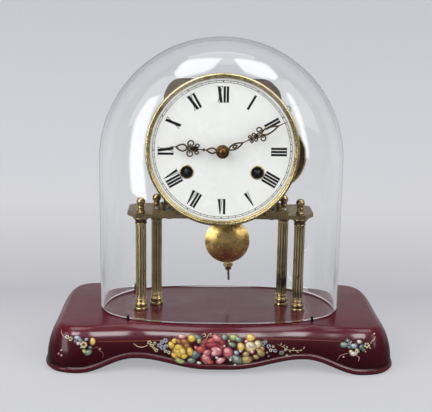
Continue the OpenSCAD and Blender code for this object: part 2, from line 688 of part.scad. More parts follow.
// going side
module barrel(pos, phase) color(brass) at(pos) difference() {
    union() {
        slab(y_great, 1.5) polygon(teeth(72, m_great, 0.7, 1.15, 0.55, 0.2, phase));
        rod_y(drum_r, y_drum - 0.2, y_drum + drum_len);
    }
    rod_y(wind_r + pivot_gap, y_great - 1, y_drum + drum_len + 1);
}
module winding_arbor() color(steel) at(p_b) {
    rod_y(wind_r, in_f + end_play, in_b - end_play);
    rod_y(2.6, plate_y - 0.6, rear);
    slab(plate_y - 2, 1.6) polygon([for (i = [0:23]) for (q = [[ratchet_r, 0], [ratchet_r - 1.2, 1]])
        polar(q[0], i * 15 - q[1])]);
    slab(dial_front - 0.5, plate_y - 1 - dial_front + 0.5) square(square_side, center = true);
}
module going_barrel() barrel(p_b, aim(p_b, p_i));
module going_winding_arbor() winding_arbor();
module intermediate_wheel() color(brass) at(p_i) {
    arbor(centre_r, strong_r);
    slab(y_great - 0.6, 2.7) pinion(10, m_great, meet(aim(p_b, p_i), 10));
    slab(y_inter, 1) wheel(60, m_inter, aim(p_i, p_c), 2.6);
}
module centre_wheel() color(brass) at(p_c) {
    arbor(centre_r, strong_r);
    rod_y(centre_r, minute_y - 1.8, in_f + 1);
    slab(y_inter - 0.6, 2.2) pinion(10, m_inter, meet(aim(p_i, p_c), 10));
    slab(y_centre, 1) wheel(80, m_centre, aim(p_c, p_t), 2.6);
}
module third_wheel() color(brass) at(p_t) {
    arbor(arbor_r, pivot_r);
    slab(y_centre - 0.6, 2.2) pinion(7, m_centre, meet(aim(p_c, p_t), 7));
    slab(y_third, 1) wheel(80, m_third, aim(p_t, p_e), 2.2);
}
module escape_wheel() color(brass) at(p_e) {
    arbor(arbor_r, pivot_r);
    slab(y_third - 0.6, 2.2) pinion(7, m_third, meet(aim(p_t, p_e), 7));
    slab(y_escape, 1.2) difference() {
        polygon([for (i = [0:39]) for (q = [[escape_r - 1.6, 0], [escape_r, 1.8], [escape_r, 2.5],
            [escape_r - 1.6, 4.6]]) polar(q[0], i * 9 + q[1])]);
        difference() {
            circle(r = escape_r - 2.8);
            circle(r = 2.2);
            for (i = [0:3]) rotate(i * 90) translate([0, -0.55]) square([escape_r, 1.1]);
        }
    }
}
click_tip = p_b + polar(ratchet_r + click_gap, -75);
click_side = polar(1.5, aim(p_click, click_tip) + 90);
module click() color(steel) at(p_c) slab(plate_y - 2, 1.6) difference() {
    union() {
        translate(p_click) circle(r = 2.3);
        polygon([click_tip, p_click + click_side, p_click - click_side]);
    }
    translate(p_click) circle(r = 1.2 + pivot_gap);
}
module going_click() click();

// strike side
module strike_barrel() barrel(p_sb, aim(p_sb, p_s2));
module strike_winding_arbor() mirror([1, 0, 0]) winding_arbor();
module strike_click() mirror([1, 0, 0]) click();
module pin_wheel() color(brass) at(p_s2) {
    arbor(centre_r, strong_r);
    slab(y_great - 0.6, 2.7) pinion(10, m_great, meet(aim(p_sb, p_s2), 10));
    slab(y_inter, 1) difference() {
        polygon(teeth(66, m_pin, 0.7, 1.15, 0.55, 0.2, aim(p_s2, p_s3)));
        for (i = [0:3]) translate(polar(4.6, i * 90 + 22.5)) circle(r = 1.9, $fn = 24);
    }
    for (i = [0:7]) rotate([0, i * 45, 0]) translate([33 * m_pin - 2.9, 0, 0]) rod_y(0.4, y_inter + 0.5, y_inter + 2.3);
}
module warning_wheel() color(brass) at(p_s3) {
    arbor(arbor_r, pivot_r);
    slab(y_inter - 0.6, 2.2) pinion(7, m_pin, meet(aim(p_s2, p_s3), 7));
    slab(y_warn, 0.9) wheel(60, m_warn, aim(p_s3, p_s4), 2.2);
}
module fly() color(brass) at(p_s4) {
    arbor(arbor_r, pivot_r);
    slab(y_warn - 0.2, 1.7) pinion(7, m_warn, meet(aim(p_s3, p_s4), 7));
    translate([-fly_r, y_great + 3.4, -0.3]) cube([2 * fly_r, plate_gap - 10.8, 0.6]);
}

// bell and hammer
bell_at = [bell_x, -bell_down];
mouth = rear + bell_off;
bell_mid = bell_r - bell_round;
bell_back = mouth + 0.4 + bell_round;
module bell() color([0.62, 0.6, 0.55]) at(bell_at) turned_y() union() {
    intersection() {
        loop([bell_mid, mouth + 0.4], bell_round, bell_t);
        translate([bell_mid, mouth + 0.4]) square(bell_round);
    }
    translate([bell_r - bell_t, mouth]) square([bell_t, 0.5]);
    translate([1.4 + thread_gap, bell_back - bell_t]) square([bell_mid, bell_t]);
}
module bell_post() color(steel) at(bell_at) {
    rod_y(bell_post_r, rear, bell_back - bell_t);
    rod_y(1.4, rear + 1, bell_back + 2.4);
    slab(bell_back, 1.8) rotate(30) circle(r = 3, $fn = 6);
}
head_z = -bell_down + bell_r + strike_gap;
head_at = [bell_x, head_z + 3];
head_y = mouth + 2.6;
module hammer() color(steel) {
    at(p_h) {
        rod_y(arbor_r, in_f + end_play, head_y);
        rod_y(pivot_r, plate_y, in_f + 1);
    }
    at(p_c) slab(y_tail, 0.8) {
        bar(p_h, p_h + polar(15.2, aim(p_h, p_s2)), 1.2);
        translate(p_h) circle(r = 1.8);
    }
    at(p_c) slab(rear + 2.1, 1.5) {
        bar(p_h, head_at, 2);
        translate(p_h) circle(r = 2.2);
    }
    translate([bell_x, head_y, centre_z + head_z]) cylinder(r = head_r, h = head_len);
}

// pendulum, drawn at its swing
pend_y = rear + pend_off;
pivot_z = centre_z + p_a[1];
module hung() translate([0, 0, pivot_z]) rotate([0, -swing, 0]) children();
tip = polar(escape_r + pallet_gap, 45) - [0, anchor_up];
module anchor() color(steel) hung() {
    rod_y(arbor_r, in_f + end_play, rear + 3);
    rod_y(pivot_r, plate_y, in_f + 1);
    slab(y_escape, 1.2) {
        circle(r = 2.2);
        for (s = [-1, 1]) {
            bar([0, 0], [s * (tip[0] + 1.8), tip[1] + 3.4], 1.8);
            polygon([[s * (tip[0] + 2.6), tip[1] + 3.8], [s * tip[0], tip[1]],
                [s * (tip[0] + 0.6), tip[1] + 3.6]]);
        }
    }
    slab(rear + 1.5, 1.2) {
        circle(r = 1.8);
        bar([0, 0], [0, -crutch_len], 1.6);
        bar([-prod_r - fork_gap - 0.5, -crutch_len], [prod_r + fork_gap + 0.5, -crutch_len], 1.4);
    }
    for (s = [-1, 1]) translate([s * (prod_r + fork_gap + 0.5), 0, -crutch_len])
        rod_y(0.5, rear + 2, pend_y + 2.4);
}
module pendulum_cock() color(brass) difference() {
    union() {
        translate([-9, rear, pivot_z + 3.6]) cube([18, 1.6, 5.4]);
        translate([-4, rear, pivot_z + 3.6]) cube([8, pend_off + 4, 5.4]);
        translate([-2.6, pend_y - 2.6, pivot_z + 0.6]) cube([5.2, 5.2, 4]);
    }
    translate([-0.55, pend_y - 2.3, pivot_z]) cube([1.1, 4.6, 2]);
}
module suspension_spring() color(steel) hung() {
    translate([-0.1, pend_y - 2, -8]) cube([0.2, 4, 9.2]);
    translate([-1.2, pend_y - 2.5, -11.7]) cube([2.4, 5, 4.2]);
}
module pendulum_rod() color(brass) hung() translate([0, pend_y, -rod_down])
    cylinder(r = prod_r, h = rod_down - 11.7);
bob_big = (bob_r * bob_r + bob_half_t * bob_half_t) / (2 * bob_half_t);
module pendulum_bob() color(brass) hung() translate([0, pend_y, -bob_down]) difference() {
    union() {
        intersection() {
            translate([0, bob_big - bob_half_t, 0]) rotate([90, 0, 0]) sphere(r = bob_big, $fn = 120);
            translate([0, bob_half_t - bob_big, 0]) rotate([90, 0, 0]) sphere(r = bob_big, $fn = 120);
        }
        rod_y(bob_r, -bob_rim / 2, bob_rim / 2);
    }
    translate([0, 0, -bob_r - 2]) cylinder(r = prod_r + thread_gap, h = 2 * bob_r + 4);
}
nut_down = bob_down + bob_r + rating_gap;
module rating_nut() color(brass) hung() translate([0, pend_y, -nut_down - rating_h]) difference() {
    union() {
        translate([0, 0, rating_h - 2.4]) linear_extrude(2.4) difference() {
            circle(r = rating_r);
            for (i = [0:19]) translate(polar(rating_r + 0.1, i * 18)) circle(r = 0.35, $fn = 13);
        }
        cylinder(r = rating_r - 1.3, h = rating_h - 1);
    }
    translate([0, 0, -1]) cylinder(r = prod_r + pivot_gap, h = rating_h + 2);
}

wooden_base();
glass_dome();
dome_pins();
column_front_left();
column_front_right();
column_back_left();
column_back_right();
foot_front_left();
foot_front_right();
foot_back_left();
foot_back_right();
capital_front_left();
capital_front_right();
capital_back_left();
capital_back_right();
finials();
column_rods();
column_nuts();
top_plate();
bracket_left();
bracket_right();
bracket_screws();
bezel();
dial_plate();
dial_posts();
winding_grommets();
minute_hand();
hour_hand();
hand_nut();
cannon_pinion();
minute_wheel();
hour_wheel();
lifting_lever();
front_plate();
back_plate();
plate_pillars();
plate_nuts();
going_barrel();
going_winding_arbor();
intermediate_wheel();
centre_wheel();
third_wheel();
escape_wheel();
going_click();
strike_barrel();
strike_winding_arbor();
pin_wheel();
warning_wheel();
fly();
strike_click();
hammer();
bell();
bell_post();
anchor();
pendulum_cock();
suspension_spring();
pendulum_rod();
pendulum_bob();
rating_nut();
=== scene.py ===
import json
import math
import random

import bmesh
import bpy
from mathutils import Matrix, Vector
from mathutils.bvhtree import BVHTree

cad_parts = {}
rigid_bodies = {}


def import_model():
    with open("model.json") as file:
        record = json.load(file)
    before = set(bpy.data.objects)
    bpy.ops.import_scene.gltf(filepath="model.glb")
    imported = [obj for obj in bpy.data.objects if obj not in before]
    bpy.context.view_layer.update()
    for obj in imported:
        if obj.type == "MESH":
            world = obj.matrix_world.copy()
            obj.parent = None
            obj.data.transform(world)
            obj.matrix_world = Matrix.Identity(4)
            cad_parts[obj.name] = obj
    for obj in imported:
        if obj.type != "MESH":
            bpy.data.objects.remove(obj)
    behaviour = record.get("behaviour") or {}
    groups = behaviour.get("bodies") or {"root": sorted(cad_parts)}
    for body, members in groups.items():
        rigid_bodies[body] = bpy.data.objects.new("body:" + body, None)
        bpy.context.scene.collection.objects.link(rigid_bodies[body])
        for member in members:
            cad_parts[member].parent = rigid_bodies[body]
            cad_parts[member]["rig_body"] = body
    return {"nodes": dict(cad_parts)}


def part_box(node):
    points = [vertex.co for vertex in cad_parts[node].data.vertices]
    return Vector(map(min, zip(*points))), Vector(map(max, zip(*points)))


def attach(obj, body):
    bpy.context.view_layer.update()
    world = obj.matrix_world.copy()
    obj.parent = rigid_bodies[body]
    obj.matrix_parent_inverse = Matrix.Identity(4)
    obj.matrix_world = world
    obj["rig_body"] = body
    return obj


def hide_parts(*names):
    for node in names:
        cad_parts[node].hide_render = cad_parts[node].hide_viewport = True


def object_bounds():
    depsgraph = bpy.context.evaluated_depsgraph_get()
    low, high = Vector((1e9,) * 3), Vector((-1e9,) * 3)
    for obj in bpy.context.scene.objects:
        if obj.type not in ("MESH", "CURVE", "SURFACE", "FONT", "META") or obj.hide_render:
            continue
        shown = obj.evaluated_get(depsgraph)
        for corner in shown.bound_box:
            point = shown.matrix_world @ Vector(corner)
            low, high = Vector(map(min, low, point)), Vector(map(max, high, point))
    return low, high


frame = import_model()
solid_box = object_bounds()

# The clock is drawn in millimetres here and turned to metres as each piece is made.
MM = 0.001
nodes = frame["nodes"]
scene = bpy.context.scene
seed = random.Random(7)

# Sizes shared with the solids
BASE_H, HALF_W, HALF_D, RECESS, ARCH, TOP_INSET, BELLY = 33.0, 129.4, 62.8, 7.3, 9.0, 12.6, 1.8
DOME_A, DOME_B, DOME_H, GLASS, POWER = 92.0, 47.5, 207.0, 3.0, 2.6
SPOTS = [(-60.4, -6.8), (60.4, -6.8), (-49.1, 6.8), (49.1, 6.8)]
SHAFT_Z, SHAFT_L, SHAFT_R = 41.0, 58.5, 4.1
CAP_Z, TOP_Z = 99.5, 108.0
DIAL_Z, DIAL_Y = 159.4, -27.0
HOUR, MINUTE = (275.3, -30.9), (63.6, -33.7)
NUT_Y, WINDING_X, WINDING_DROP = -34.0, 25.8, 15.83

# The photographer's camera: where it stands, how it is turned, its lens, and the middle of its picture
EYE_AT = Vector((-0.01789, -0.700, 0.27379))
EYE_RIGHT = Vector((0.99974501, -0.01721539, 0.01461329))
EYE_UP = Vector((-0.01035293, 0.225681, 0.97414624))
EYE_LOOK = Vector((0.02006825, 0.97404913, -0.22544522))
SENSOR, LENS = 36, 78.08
MID_X, MID_Y, REACH = 216, 206, 936.93


def placed(name, data):
    """A new object in the scene."""
    obj = bpy.data.objects.new(name, data)
    scene.collection.objects.link(obj)
    return obj


def set_camera():
    cam = placed("camera", bpy.data.cameras.new("camera"))
    turn = Matrix((EYE_RIGHT, EYE_UP, -EYE_LOOK)).transposed()
    cam.matrix_world = Matrix.Translation(EYE_AT) @ turn.to_4x4()
    cam.data.sensor_fit, cam.data.sensor_width, cam.data.lens = "HORIZONTAL", SENSOR, LENS
    cam.data.clip_start, cam.data.clip_end = 0.02, 20
    scene.camera = cam


# Finishes
def tint(r, g, b):
    """A paint chart's 0 to 255 values as a linear colour."""
    part = [v / 255 for v in (r, g, b)]
    return (*[v / 12.92 if v <= 0.04045 else ((v + 0.055) / 1.055) ** 2.4 for v in part], 1.0)


def tints(*charts):
    return [tint(*c) for c in charts]


class Wiring:
    """A node tree and short calls that fill it."""

    def __init__(self, tree):
        self.tree = tree

    def add(self, kind, values=None, **props):
        n = self.tree.nodes.new(kind)
        for k, v in props.items():
            setattr(n, k, v)
        for k, v in (values or {}).items():
            if isinstance(v, bpy.types.NodeSocket):
                self.tree.links.new(v, n.inputs[k])
            elif v is not None:
                n.inputs[k].default_value = v
        return n

    def out(self, kind, values=None, **props):
        return self.add(kind, values, **props).outputs[0]

    def math(self, how, a, b=None, c=None, **props):
        return self.out("ShaderNodeMath", {0: a, 1: b, 2: c}, operation=how, **props)

    def times(self, a, b):
        return self.math("MULTIPLY", a, b)

    def span(self, value, lo, hi, a=0.3, b=0.7, **props):
        """Lays the range a to b of a value over lo to hi."""
        ends = {"Value": value, "From Min": a, "From Max": b, "To Min": lo, "To Max": hi}
        return self.out("ShaderNodeMapRange", ends, **props)


class Finish(Wiring):
    """A material, with the patterns that the clock's finishes share."""

    def __init__(self, name):
        self.mat = bpy.data.materials.new(name)
        self.mat.use_nodes = True
        super().__init__(self.mat.node_tree)
        self.tree.nodes.clear()
        self.place = self.add("ShaderNodeTexCoord").outputs["Object"]

    def speckle(self, scale, detail=5, rough=0.6, where=None):
        v = {"Vector": where or self.place, "Scale": scale, "Detail": detail, "Roughness": rough}
        return self.out("ShaderNodeTexNoise", v)

    def stretched(self, *scale):
        return self.out("ShaderNodeMapping", {"Vector": self.place, "Scale": scale})

    def height(self):
        return self.add("ShaderNodeSeparateXYZ", {0: self.place}).outputs[2]

    def ramp(self, fac, stops):
        n = self.add("ShaderNodeValToRGB", {"Fac": fac})
        e = n.color_ramp.elements
        while len(e) < len(stops):
            e.new(0.5)
        for el, (at, col) in zip(e, stops):
            el.position, el.color = at, col
        return n.outputs["Color"]

    def mix(self, fac, a, b, how="MIX"):
        return self.add("ShaderNodeMix", {0: fac, 6: a, 7: b}, data_type="RGBA", blend_type=how).outputs[2]

    def edges(self, lo=0.5, hi=0.56):
        """Goes from 0 to 1 where the surface turns outwards, or inwards when hi is below lo."""
        return self.span(self.add("ShaderNodeNewGeometry").outputs["Pointiness"], 0.0, 1.0, lo, hi)

    def carried(self, name):
        """What an attribute of the mesh holds."""
        return self.add("ShaderNodeAttribute", attribute_name=name).outputs

    def bump(self, height, strength, size):
        return self.out("ShaderNodeBump", {"Height": height, "Strength": strength, "Distance": size})

    def blend(self, fac, a, b):
        return self.out("ShaderNodeMixShader", {0: fac, 1: a, 2: b})

    def wear(self, shader):
        self.add("ShaderNodeOutputMaterial", {"Surface": shader})
        return self.mat

    def skin(self, values):
        return self.wear(self.out("ShaderNodeBsdfPrincipled", values))


def brass(name, tones, rough, patches=70, worn=0.6, hollow=0.7, detail=7, grooves=False, metal=1.0):
    """Old brass in three cloudy tones, dark in its hollows with tarnish and painted shade, and bright on
    worn edges.
    """
    f = Finish(name)
    bright, middle, dark = tints(*tones)
    col = f.ramp(f.speckle(patches, detail, 0.65), [(0.3, dark), (0.5, middle), (0.72, bright)])
    # the hollows take the dark tone: tarnish, with painted shade, strongest along the flutes of the columns
    low = f.carried("groove")["Fac"] if grooves else f.edges(0.49, 0.44)
    col = f.mix(f.span(low, 0.0, hollow, 0, 1), col, dark)
    col = f.mix(f.span(f.edges(), 0.0, worn, 0, 1), col, bright)
    return f.skin({"Base Color": col, "Metallic": metal,
                   "Roughness": f.span(f.speckle(260, 4), rough - 0.07, rough + 0.14),
                   "Normal": f.bump(f.speckle(1400, 3), 0.05 if grooves else 0.09, 0.00012)})


def steel(name, light, dark, rough):
    f = Finish(name)
    col = f.ramp(f.speckle(120, 6), [(0.3, (*dark, 1)), (0.7, (*light, 1))])
    lines = f.speckle(900, 2, 0.5, f.stretched(1, 0.08, 1))
    return f.skin({"Base Color": col, "Metallic": 1.0, "Normal": f.bump(lines, 0.2, 0.0001),
                   "Roughness": f.span(f.speckle(400, 3), rough - 0.08, rough + 0.12)})


def lacquer():
    """Burgundy gloss over wood, with painted shade that darkens it low down and painted light at the top;
    clouds and grain in the colour, worn on its edges.
    """
    f = Finish("burgundy_lacquer")
    low, middle, top, cloud, grain, worn = tints(
        (40, 1, 9), (62, 3, 17), (92, 8, 31), (46, 2, 12), (34, 2, 9), (120, 44, 52))
    # painted shade and light: the colour goes from dark at the foot of the base to lighter at its top
    col = f.ramp(f.span(f.height(), 0.0, 1.0, 0.004, BASE_H * MM), [(0.0, low), (0.6, middle), (1.0, top)])
    col = f.mix(f.span(f.speckle(9, 4), 0.0, 0.35), col, cloud)
    col = f.mix(f.span(f.speckle(55, 6, 0.7, f.stretched(0.12, 1, 1)), 0.0, 0.35), col, grain)
    col = f.mix(f.span(f.edges(0.505, 0.53), 0.0, 0.35, 0, 1), col, worn)
    return f.skin({"Base Color": col, "Roughness": f.span(f.speckle(30, 5), 0.3, 0.46),
                   "Specular IOR Level": 0.1, "Coat Weight": 0.5, "Coat Roughness": 0.14, "Coat IOR": 1.5,
                   "Normal": f.bump(f.speckle(38, 3), 0.06, 0.0006)})


def enamel():
    f = Finish("white_enamel")
    shade, white = tints((248, 246, 238), (254, 253, 250))
    return f.skin({"Base Color": f.ramp(f.speckle(30, 4), [(0.3, shade), (0.7, white)]),
                   "Roughness": f.span(f.speckle(90, 3), 0.2, 0.3), "Coat Weight": 0.5,
                   "Coat Roughness": 0.06, "Normal": f.bump(f.speckle(180, 2), 0.04, 0.0002)})


def ink(name, dark, light):
    f = Finish(name)
    return f.skin({"Base Color": f.ramp(f.speckle(700, 4), [(0.35, tint(*dark)), (0.65, tint(*light))]),
                   "Roughness": f.span(f.speckle(500, 3), 0.35, 0.55), "Specular IOR Level": 0.15})


def flower_paint():
    """Oil colours laid on by brush: the colour is on the mesh, the strokes are a fine relief."""
    f = Finish("flower_paint")
    col = f.carried("paint")["Color"]
    stroke = f.speckle(900, 4, 0.6, f.stretched(1, 1, 0.35))
    col = f.mix(f.span(stroke, 0.0, 0.32), col, f.mix(1.0, col, tint(205, 190, 175), "MULTIPLY"))
    return f.skin({"Base Color": col, "Roughness": f.span(f.speckle(300, 3), 0.3, 0.5),
                   "Normal": f.bump(stroke, 0.4, 0.0002)})


def blown_glass():
    """Clear glass with a painted dark shade line at its foot, which lets the lamps through to what stands
    under it.
    """
    f = Finish("blown_glass")
    # painted shade: the glass turns dark red-brown at its foot, in place of its shadow line and the dark
    # wood seen through its edge
    foot = f.span(f.height(), 0.0, 1.0, BASE_H * MM, (BASE_H + 1.5) * MM)
    foot_shade = f.ramp(foot, [(0.0, tint(22, 8, 10)), (0.38, tint(40, 20, 22)), (0.58, (0.995, 1.0, 0.998, 1))])
    glass = f.out("ShaderNodeBsdfPrincipled", {
        "Base Color": foot_shade, "Roughness": 0.0, "IOR": 1.46, "Transmission Weight": 1.0,
        "Normal": f.bump(f.speckle(14, 2), 0.02, 0.0012)})
    clear = f.out("ShaderNodeBsdfTransparent", {"Color": (0.97, 0.98, 0.98, 1)})
    ray = f.add("ShaderNodeLightPath").outputs
    return f.wear(f.blend(f.math("MAXIMUM", ray["Is Shadow Ray"], ray["Is Diffuse Ray"]), glass, clear))


LACQUER, GLASS_MAT, ENAMEL, PAINT = lacquer(), blown_glass(), enamel(), flower_paint()
# the columns' flutes go almost to the dark tone: painted shade of the grooves
COLUMN = brass("aged_column_brass", ((240, 222, 178), (214, 194, 146), (52, 40, 22)), 0.32, 30,
               worn=0.0, hollow=0.96, detail=3, grooves=True)
TURNED = brass("turned_brass", ((206, 184, 138), (162, 138, 94), (82, 64, 38)), 0.22, 80)
BEZEL = brass("bezel_brass", ((230, 212, 164), (206, 186, 134), (156, 136, 90)), 0.22, 24,
              worn=0.3, detail=3)
HANDS = brass("hand_brass", ((104, 82, 42), (50, 37, 18), (18, 13, 7)), 0.3, 240)
BOSS = brass("hand_nut_brass", ((134, 100, 58), (86, 60, 36), (38, 25, 15)), 0.3, 160)
PLATE = brass("dull_plate_brass", ((168, 148, 112), (132, 114, 86), (80, 66, 48)), 0.34, 40)
BRACKET = brass("bracket_brass", ((190, 166, 118), (150, 126, 84), (88, 70, 44)), 0.32, 90)
WHEELS = brass("wheel_brass", ((222, 190, 120), (188, 154, 92), (128, 98, 54)), 0.28, 90)
BELL = brass("bell_metal", ((206, 184, 140), (180, 158, 116), (136, 116, 82)), 0.26, 24,
             worn=0.5, detail=3, metal=0.6)
# painted shade: the movement's plates and pillars are dark brass, for they stand in shadow behind the dial
MOVEMENT = brass("tarnished_plate_brass", ((112, 90, 54), (86, 68, 40), (48, 38, 22)), 0.32, 50)
BOB = brass("bob_brass", ((250, 222, 150), (230, 196, 120), (196, 158, 92)), 0.26, 30, detail=4)
STEEL = steel("ground_steel", (0.42, 0.42, 0.43), (0.2, 0.2, 0.21), 0.3)
# dark steel: the dome pins' own colour, and painted shade on the winding arbors, which stand in the dark of
# the winding holes
DARK_STEEL = steel("blackened_steel", (0.1, 0.1, 0.1), (0.035, 0.033, 0.032), 0.36)
INK = ink("numeral_black", (12, 12, 14), (24, 24, 28))
TRACK = ink("track_grey", (34, 32, 32), (60, 58, 56))


# Making pieces
def coat(mesh, mat):
    mesh.materials.clear()
    mesh.materials.append(mat)


def settle(obj, mat, body, stands_for=(), angle=35.0, smooth=True):
    """Gives a made piece its finish, its smoothing and the body it moves with."""
    coat(obj.data, mat)
    if smooth:
        obj.data.shade_smooth()
        obj.data.set_sharp_from_angle(angle=math.radians(angle))
    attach(obj, body)
    if stands_for:
        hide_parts(*stands_for)


def weld(bm):
    bmesh.ops.remove_doubles(bm, verts=bm.verts, dist=1e-7)


def drop_slivers(bm):
    bmesh.ops.dissolve_degenerate(bm, edges=bm.edges, dist=1e-8)


def face_out(bm):
    bmesh.ops.recalc_face_normals(bm, faces=bm.faces)


def rework(source, target, *steps):
    """Takes a mesh through some steps and writes it to the target."""
    bm = bmesh.new()
    bm.from_mesh(source)
    for step in steps:
        step(bm)
    bm.to_mesh(target)
    bm.free()


def drawn(name, verts, faces):
    """A mesh from points in millimetres."""
    me = bpy.data.meshes.new(name)
    me.from_pydata([Vector(v) * MM for v in verts], [], faces)
    return me


def solid(name, verts, faces):
    """A closed object from points in millimetres, with its faces outwards."""
    me = drawn(name, verts, faces)
    rework(me, me, weld, drop_slivers, face_out)
    return placed(name, me)


def joined(name, parts):
    """One object from several (verts, faces) lists, in millimetres."""
    verts, faces = [], []
    for v, f in parts:
        k = len(verts)
        verts += v
        faces += [[i + k for i in q] for q in f]
    return solid(name, verts, faces)


def baked(obj):
    """Leaves what an object's modifiers make as its plain mesh."""
    bpy.context.view_layer.update()
    old = obj.data
    me = bpy.data.meshes.new_from_object(obj.evaluated_get(bpy.context.evaluated_depsgraph_get()))
    obj.modifiers.clear()
    obj.data = me
    bpy.data.meshes.remove(old)


def circle(n):
    """Cosine and sine at n even steps round a circle."""
    return [(math.cos(2 * math.pi * i / n), math.sin(2 * math.pi * i / n)) for i in range(n)]


def arc(cx, cy, r, a0, a1, n=8):
    steps = [math.radians(a0 + (a1 - a0) * i / n) for i in range(n + 1)]
    return [(cx + r * math.cos(a), cy + r * math.sin(a)) for a in steps]


def bands(rings, n, shut=False):
    """Four-sided faces between rings of n points; shut also joins the last ring to the first."""
    faces = []
    for k in range(rings if shut else rings - 1):
        low, high = k * n, (k + 1) % rings * n
        faces += [[low + i, low + (i + 1) % n, high + (i + 1) % n, high + i] for i in range(n)]
    return faces


def caps(n, last):
    """The end faces of a row of rings, of which the last begins at that point."""
    return [list(range(n))[::-1], list(range(last, last + n))]


def turned(profile, at, n=96, axis="Z"):
    """A closed profile of (radius, height) turned about an axis through at."""
    x, y, z = at
    if axis == "Z":
        verts = [(x + r * c, y + r * s, z + h) for c, s in circle(n) for r, h in profile]
    else:
        verts = [(x + r * c, y + h, z + r * s) for c, s in circle(n) for r, h in profile]
    return verts, bands(n, len(profile), shut=True)


def refined(node, mat, angle=30.0):
    """A welded copy of a CAD node, with smooth shading, stands for it."""
    me = bpy.data.meshes.new(node + "_finish")
    rework(nodes[node].data, me, weld)
    settle(placed(node + "_finish", me), mat, nodes[node]["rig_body"], (node,), angle=angle)


def smooth_line(pts, n=6):
    """Points on a soft curve through pts, which lie in a plane."""
    out = []
    p = [Vector(q) for q in pts]
    for i in range(len(p) - 1):
        a, b, c, d = p[max(i - 1, 0)], p[i], p[i + 1], p[min(i + 2, len(p) - 1)]
        for t in [k / n for k in range(n)]:
            out.append(0.5 * ((2 * b) + (c - a) * t + (2 * a - 5 * b + 4 * c - d) * t * t
                              + (3 * b - a - 3 * c + d) * t ** 3))
    return out + [p[-1]]


# What follows a rule: flutes of the columns, marks round the dial
class Rule(Wiring):
    """A geometry node tree with named inputs, and the mesh that it makes."""

    def __init__(self, name, inputs):
        super().__init__(bpy.data.node_groups.new(name, "GeometryNodeTree"))
        sockets = self.tree.interface
        self.keys = {}
        for label, kind, value in (("Geometry", "Geometry", None), *inputs, ("Finish", "Material", None)):
            s = sockets.new_socket(name=label, in_out="INPUT", socket_type="NodeSocket" + kind)
            if value is not None:
                s.default_value = value
            self.keys[label] = s.identifier
        sockets.new_socket(name="Geometry", in_out="OUTPUT", socket_type="NodeSocketGeometry")
        self.given = self.add("NodeGroupInput").outputs

    def xyz(self, x, y, z):
        return self.out("ShaderNodeCombineXYZ", {0: x, 1: y, 2: z})

    def spread(self, points, piece, turn=None):
        """Ends the tree: the piece on each point, as real faces, in the finish."""
        put = self.out("GeometryNodeInstanceOnPoints",
                       {"Points": points, "Instance": piece, "Rotation": turn})
        real = self.out("GeometryNodeRealizeInstances", {"Geometry": put})
        done = self.out("GeometryNodeSetMaterial", {"Geometry": real, "Material": self.given["Finish"]})
        self.add("NodeGroupOutput", {0: done})

    def grow(self, obj, **values):
        """Runs the tree on obj and leaves its result as a plain mesh."""
        mod = obj.modifiers.new("rule", "NODES")
        mod.node_group = self.tree
        for k, v in values.items():
            mod[self.keys[k]] = v
        baked(obj)


def fluted_shafts():
    """Four fluted shafts; the flutes run out in rounded ends."""
    r = Rule("fluted_shaft", [
        ("Shaft radius", "Float", SHAFT_R * MM), ("Flute depth", "Float", 0.55 * MM), ("Flutes", "Int", 12),
        ("Length", "Float", SHAFT_L * MM), ("Run out", "Float", 2.2 * MM)])
    rows, columns = 60, 145
    step = 1.0 / (rows - 1)
    # a square sheet is rolled to a tube; its first and last rows close the ends
    sheet = r.out("GeometryNodeMeshGrid",
                  {"Size X": 1.0, "Size Y": 1.0, "Vertices X": columns, "Vertices Y": rows})
    at = r.add("ShaderNodeSeparateXYZ", {0: r.out("GeometryNodeInputPosition")}).outputs
    turn = r.times(r.math("ADD", at[0], 0.5), 2 * math.pi)
    along = r.math("ADD", at[1], 0.5)
    z = r.span(along, 0.0, 1.0, step, 1 - step)
    wave = r.math("COSINE", r.times(turn, r.given["Flutes"]))
    hollow = r.math("POWER", r.math("MAXIMUM", wave, 0.0), 0.6)
    end = r.times(r.math("MINIMUM", z, r.math("SUBTRACT", 1.0, z)), r.given["Length"])
    run_out = r.given["Run out"]
    fade = r.span(end, 0.0, 1.0, r.times(run_out, 0.5), run_out, interpolation_type="SMOOTHSTEP")
    groove = r.times(hollow, fade)
    inside = r.times(r.math("GREATER_THAN", along, step * 0.5), r.math("LESS_THAN", along, 1 - step * 0.5))
    deep = r.times(groove, r.given["Flute depth"])
    rad = r.times(r.math("SUBTRACT", r.given["Shaft radius"], deep), inside)
    spot = r.xyz(r.times(rad, r.math("COSINE", turn)), r.times(rad, r.math("SINE", turn)),
                 r.times(z, r.given["Length"]))
    kept = r.out("GeometryNodeStoreNamedAttribute", {"Geometry": sheet, "Name": "groove", "Value": groove},
                 data_type="FLOAT", domain="POINT")
    shaped = r.out("GeometryNodeSetPosition", {"Geometry": kept, "Position": spot})
    welded = r.out("GeometryNodeMergeByDistance", {"Geometry": shaped, "Distance": 1e-6})
    r.spread(r.given["Geometry"], welded)
    obj = placed("fluted_shafts", drawn("shaft_spots", [(x, y, SHAFT_Z) for x, y in SPOTS], []))
    r.grow(obj, Finish=COLUMN)
    rework(obj.data, obj.data, face_out)
    settle(obj, COLUMN, "case", at_corners("column"), 40)


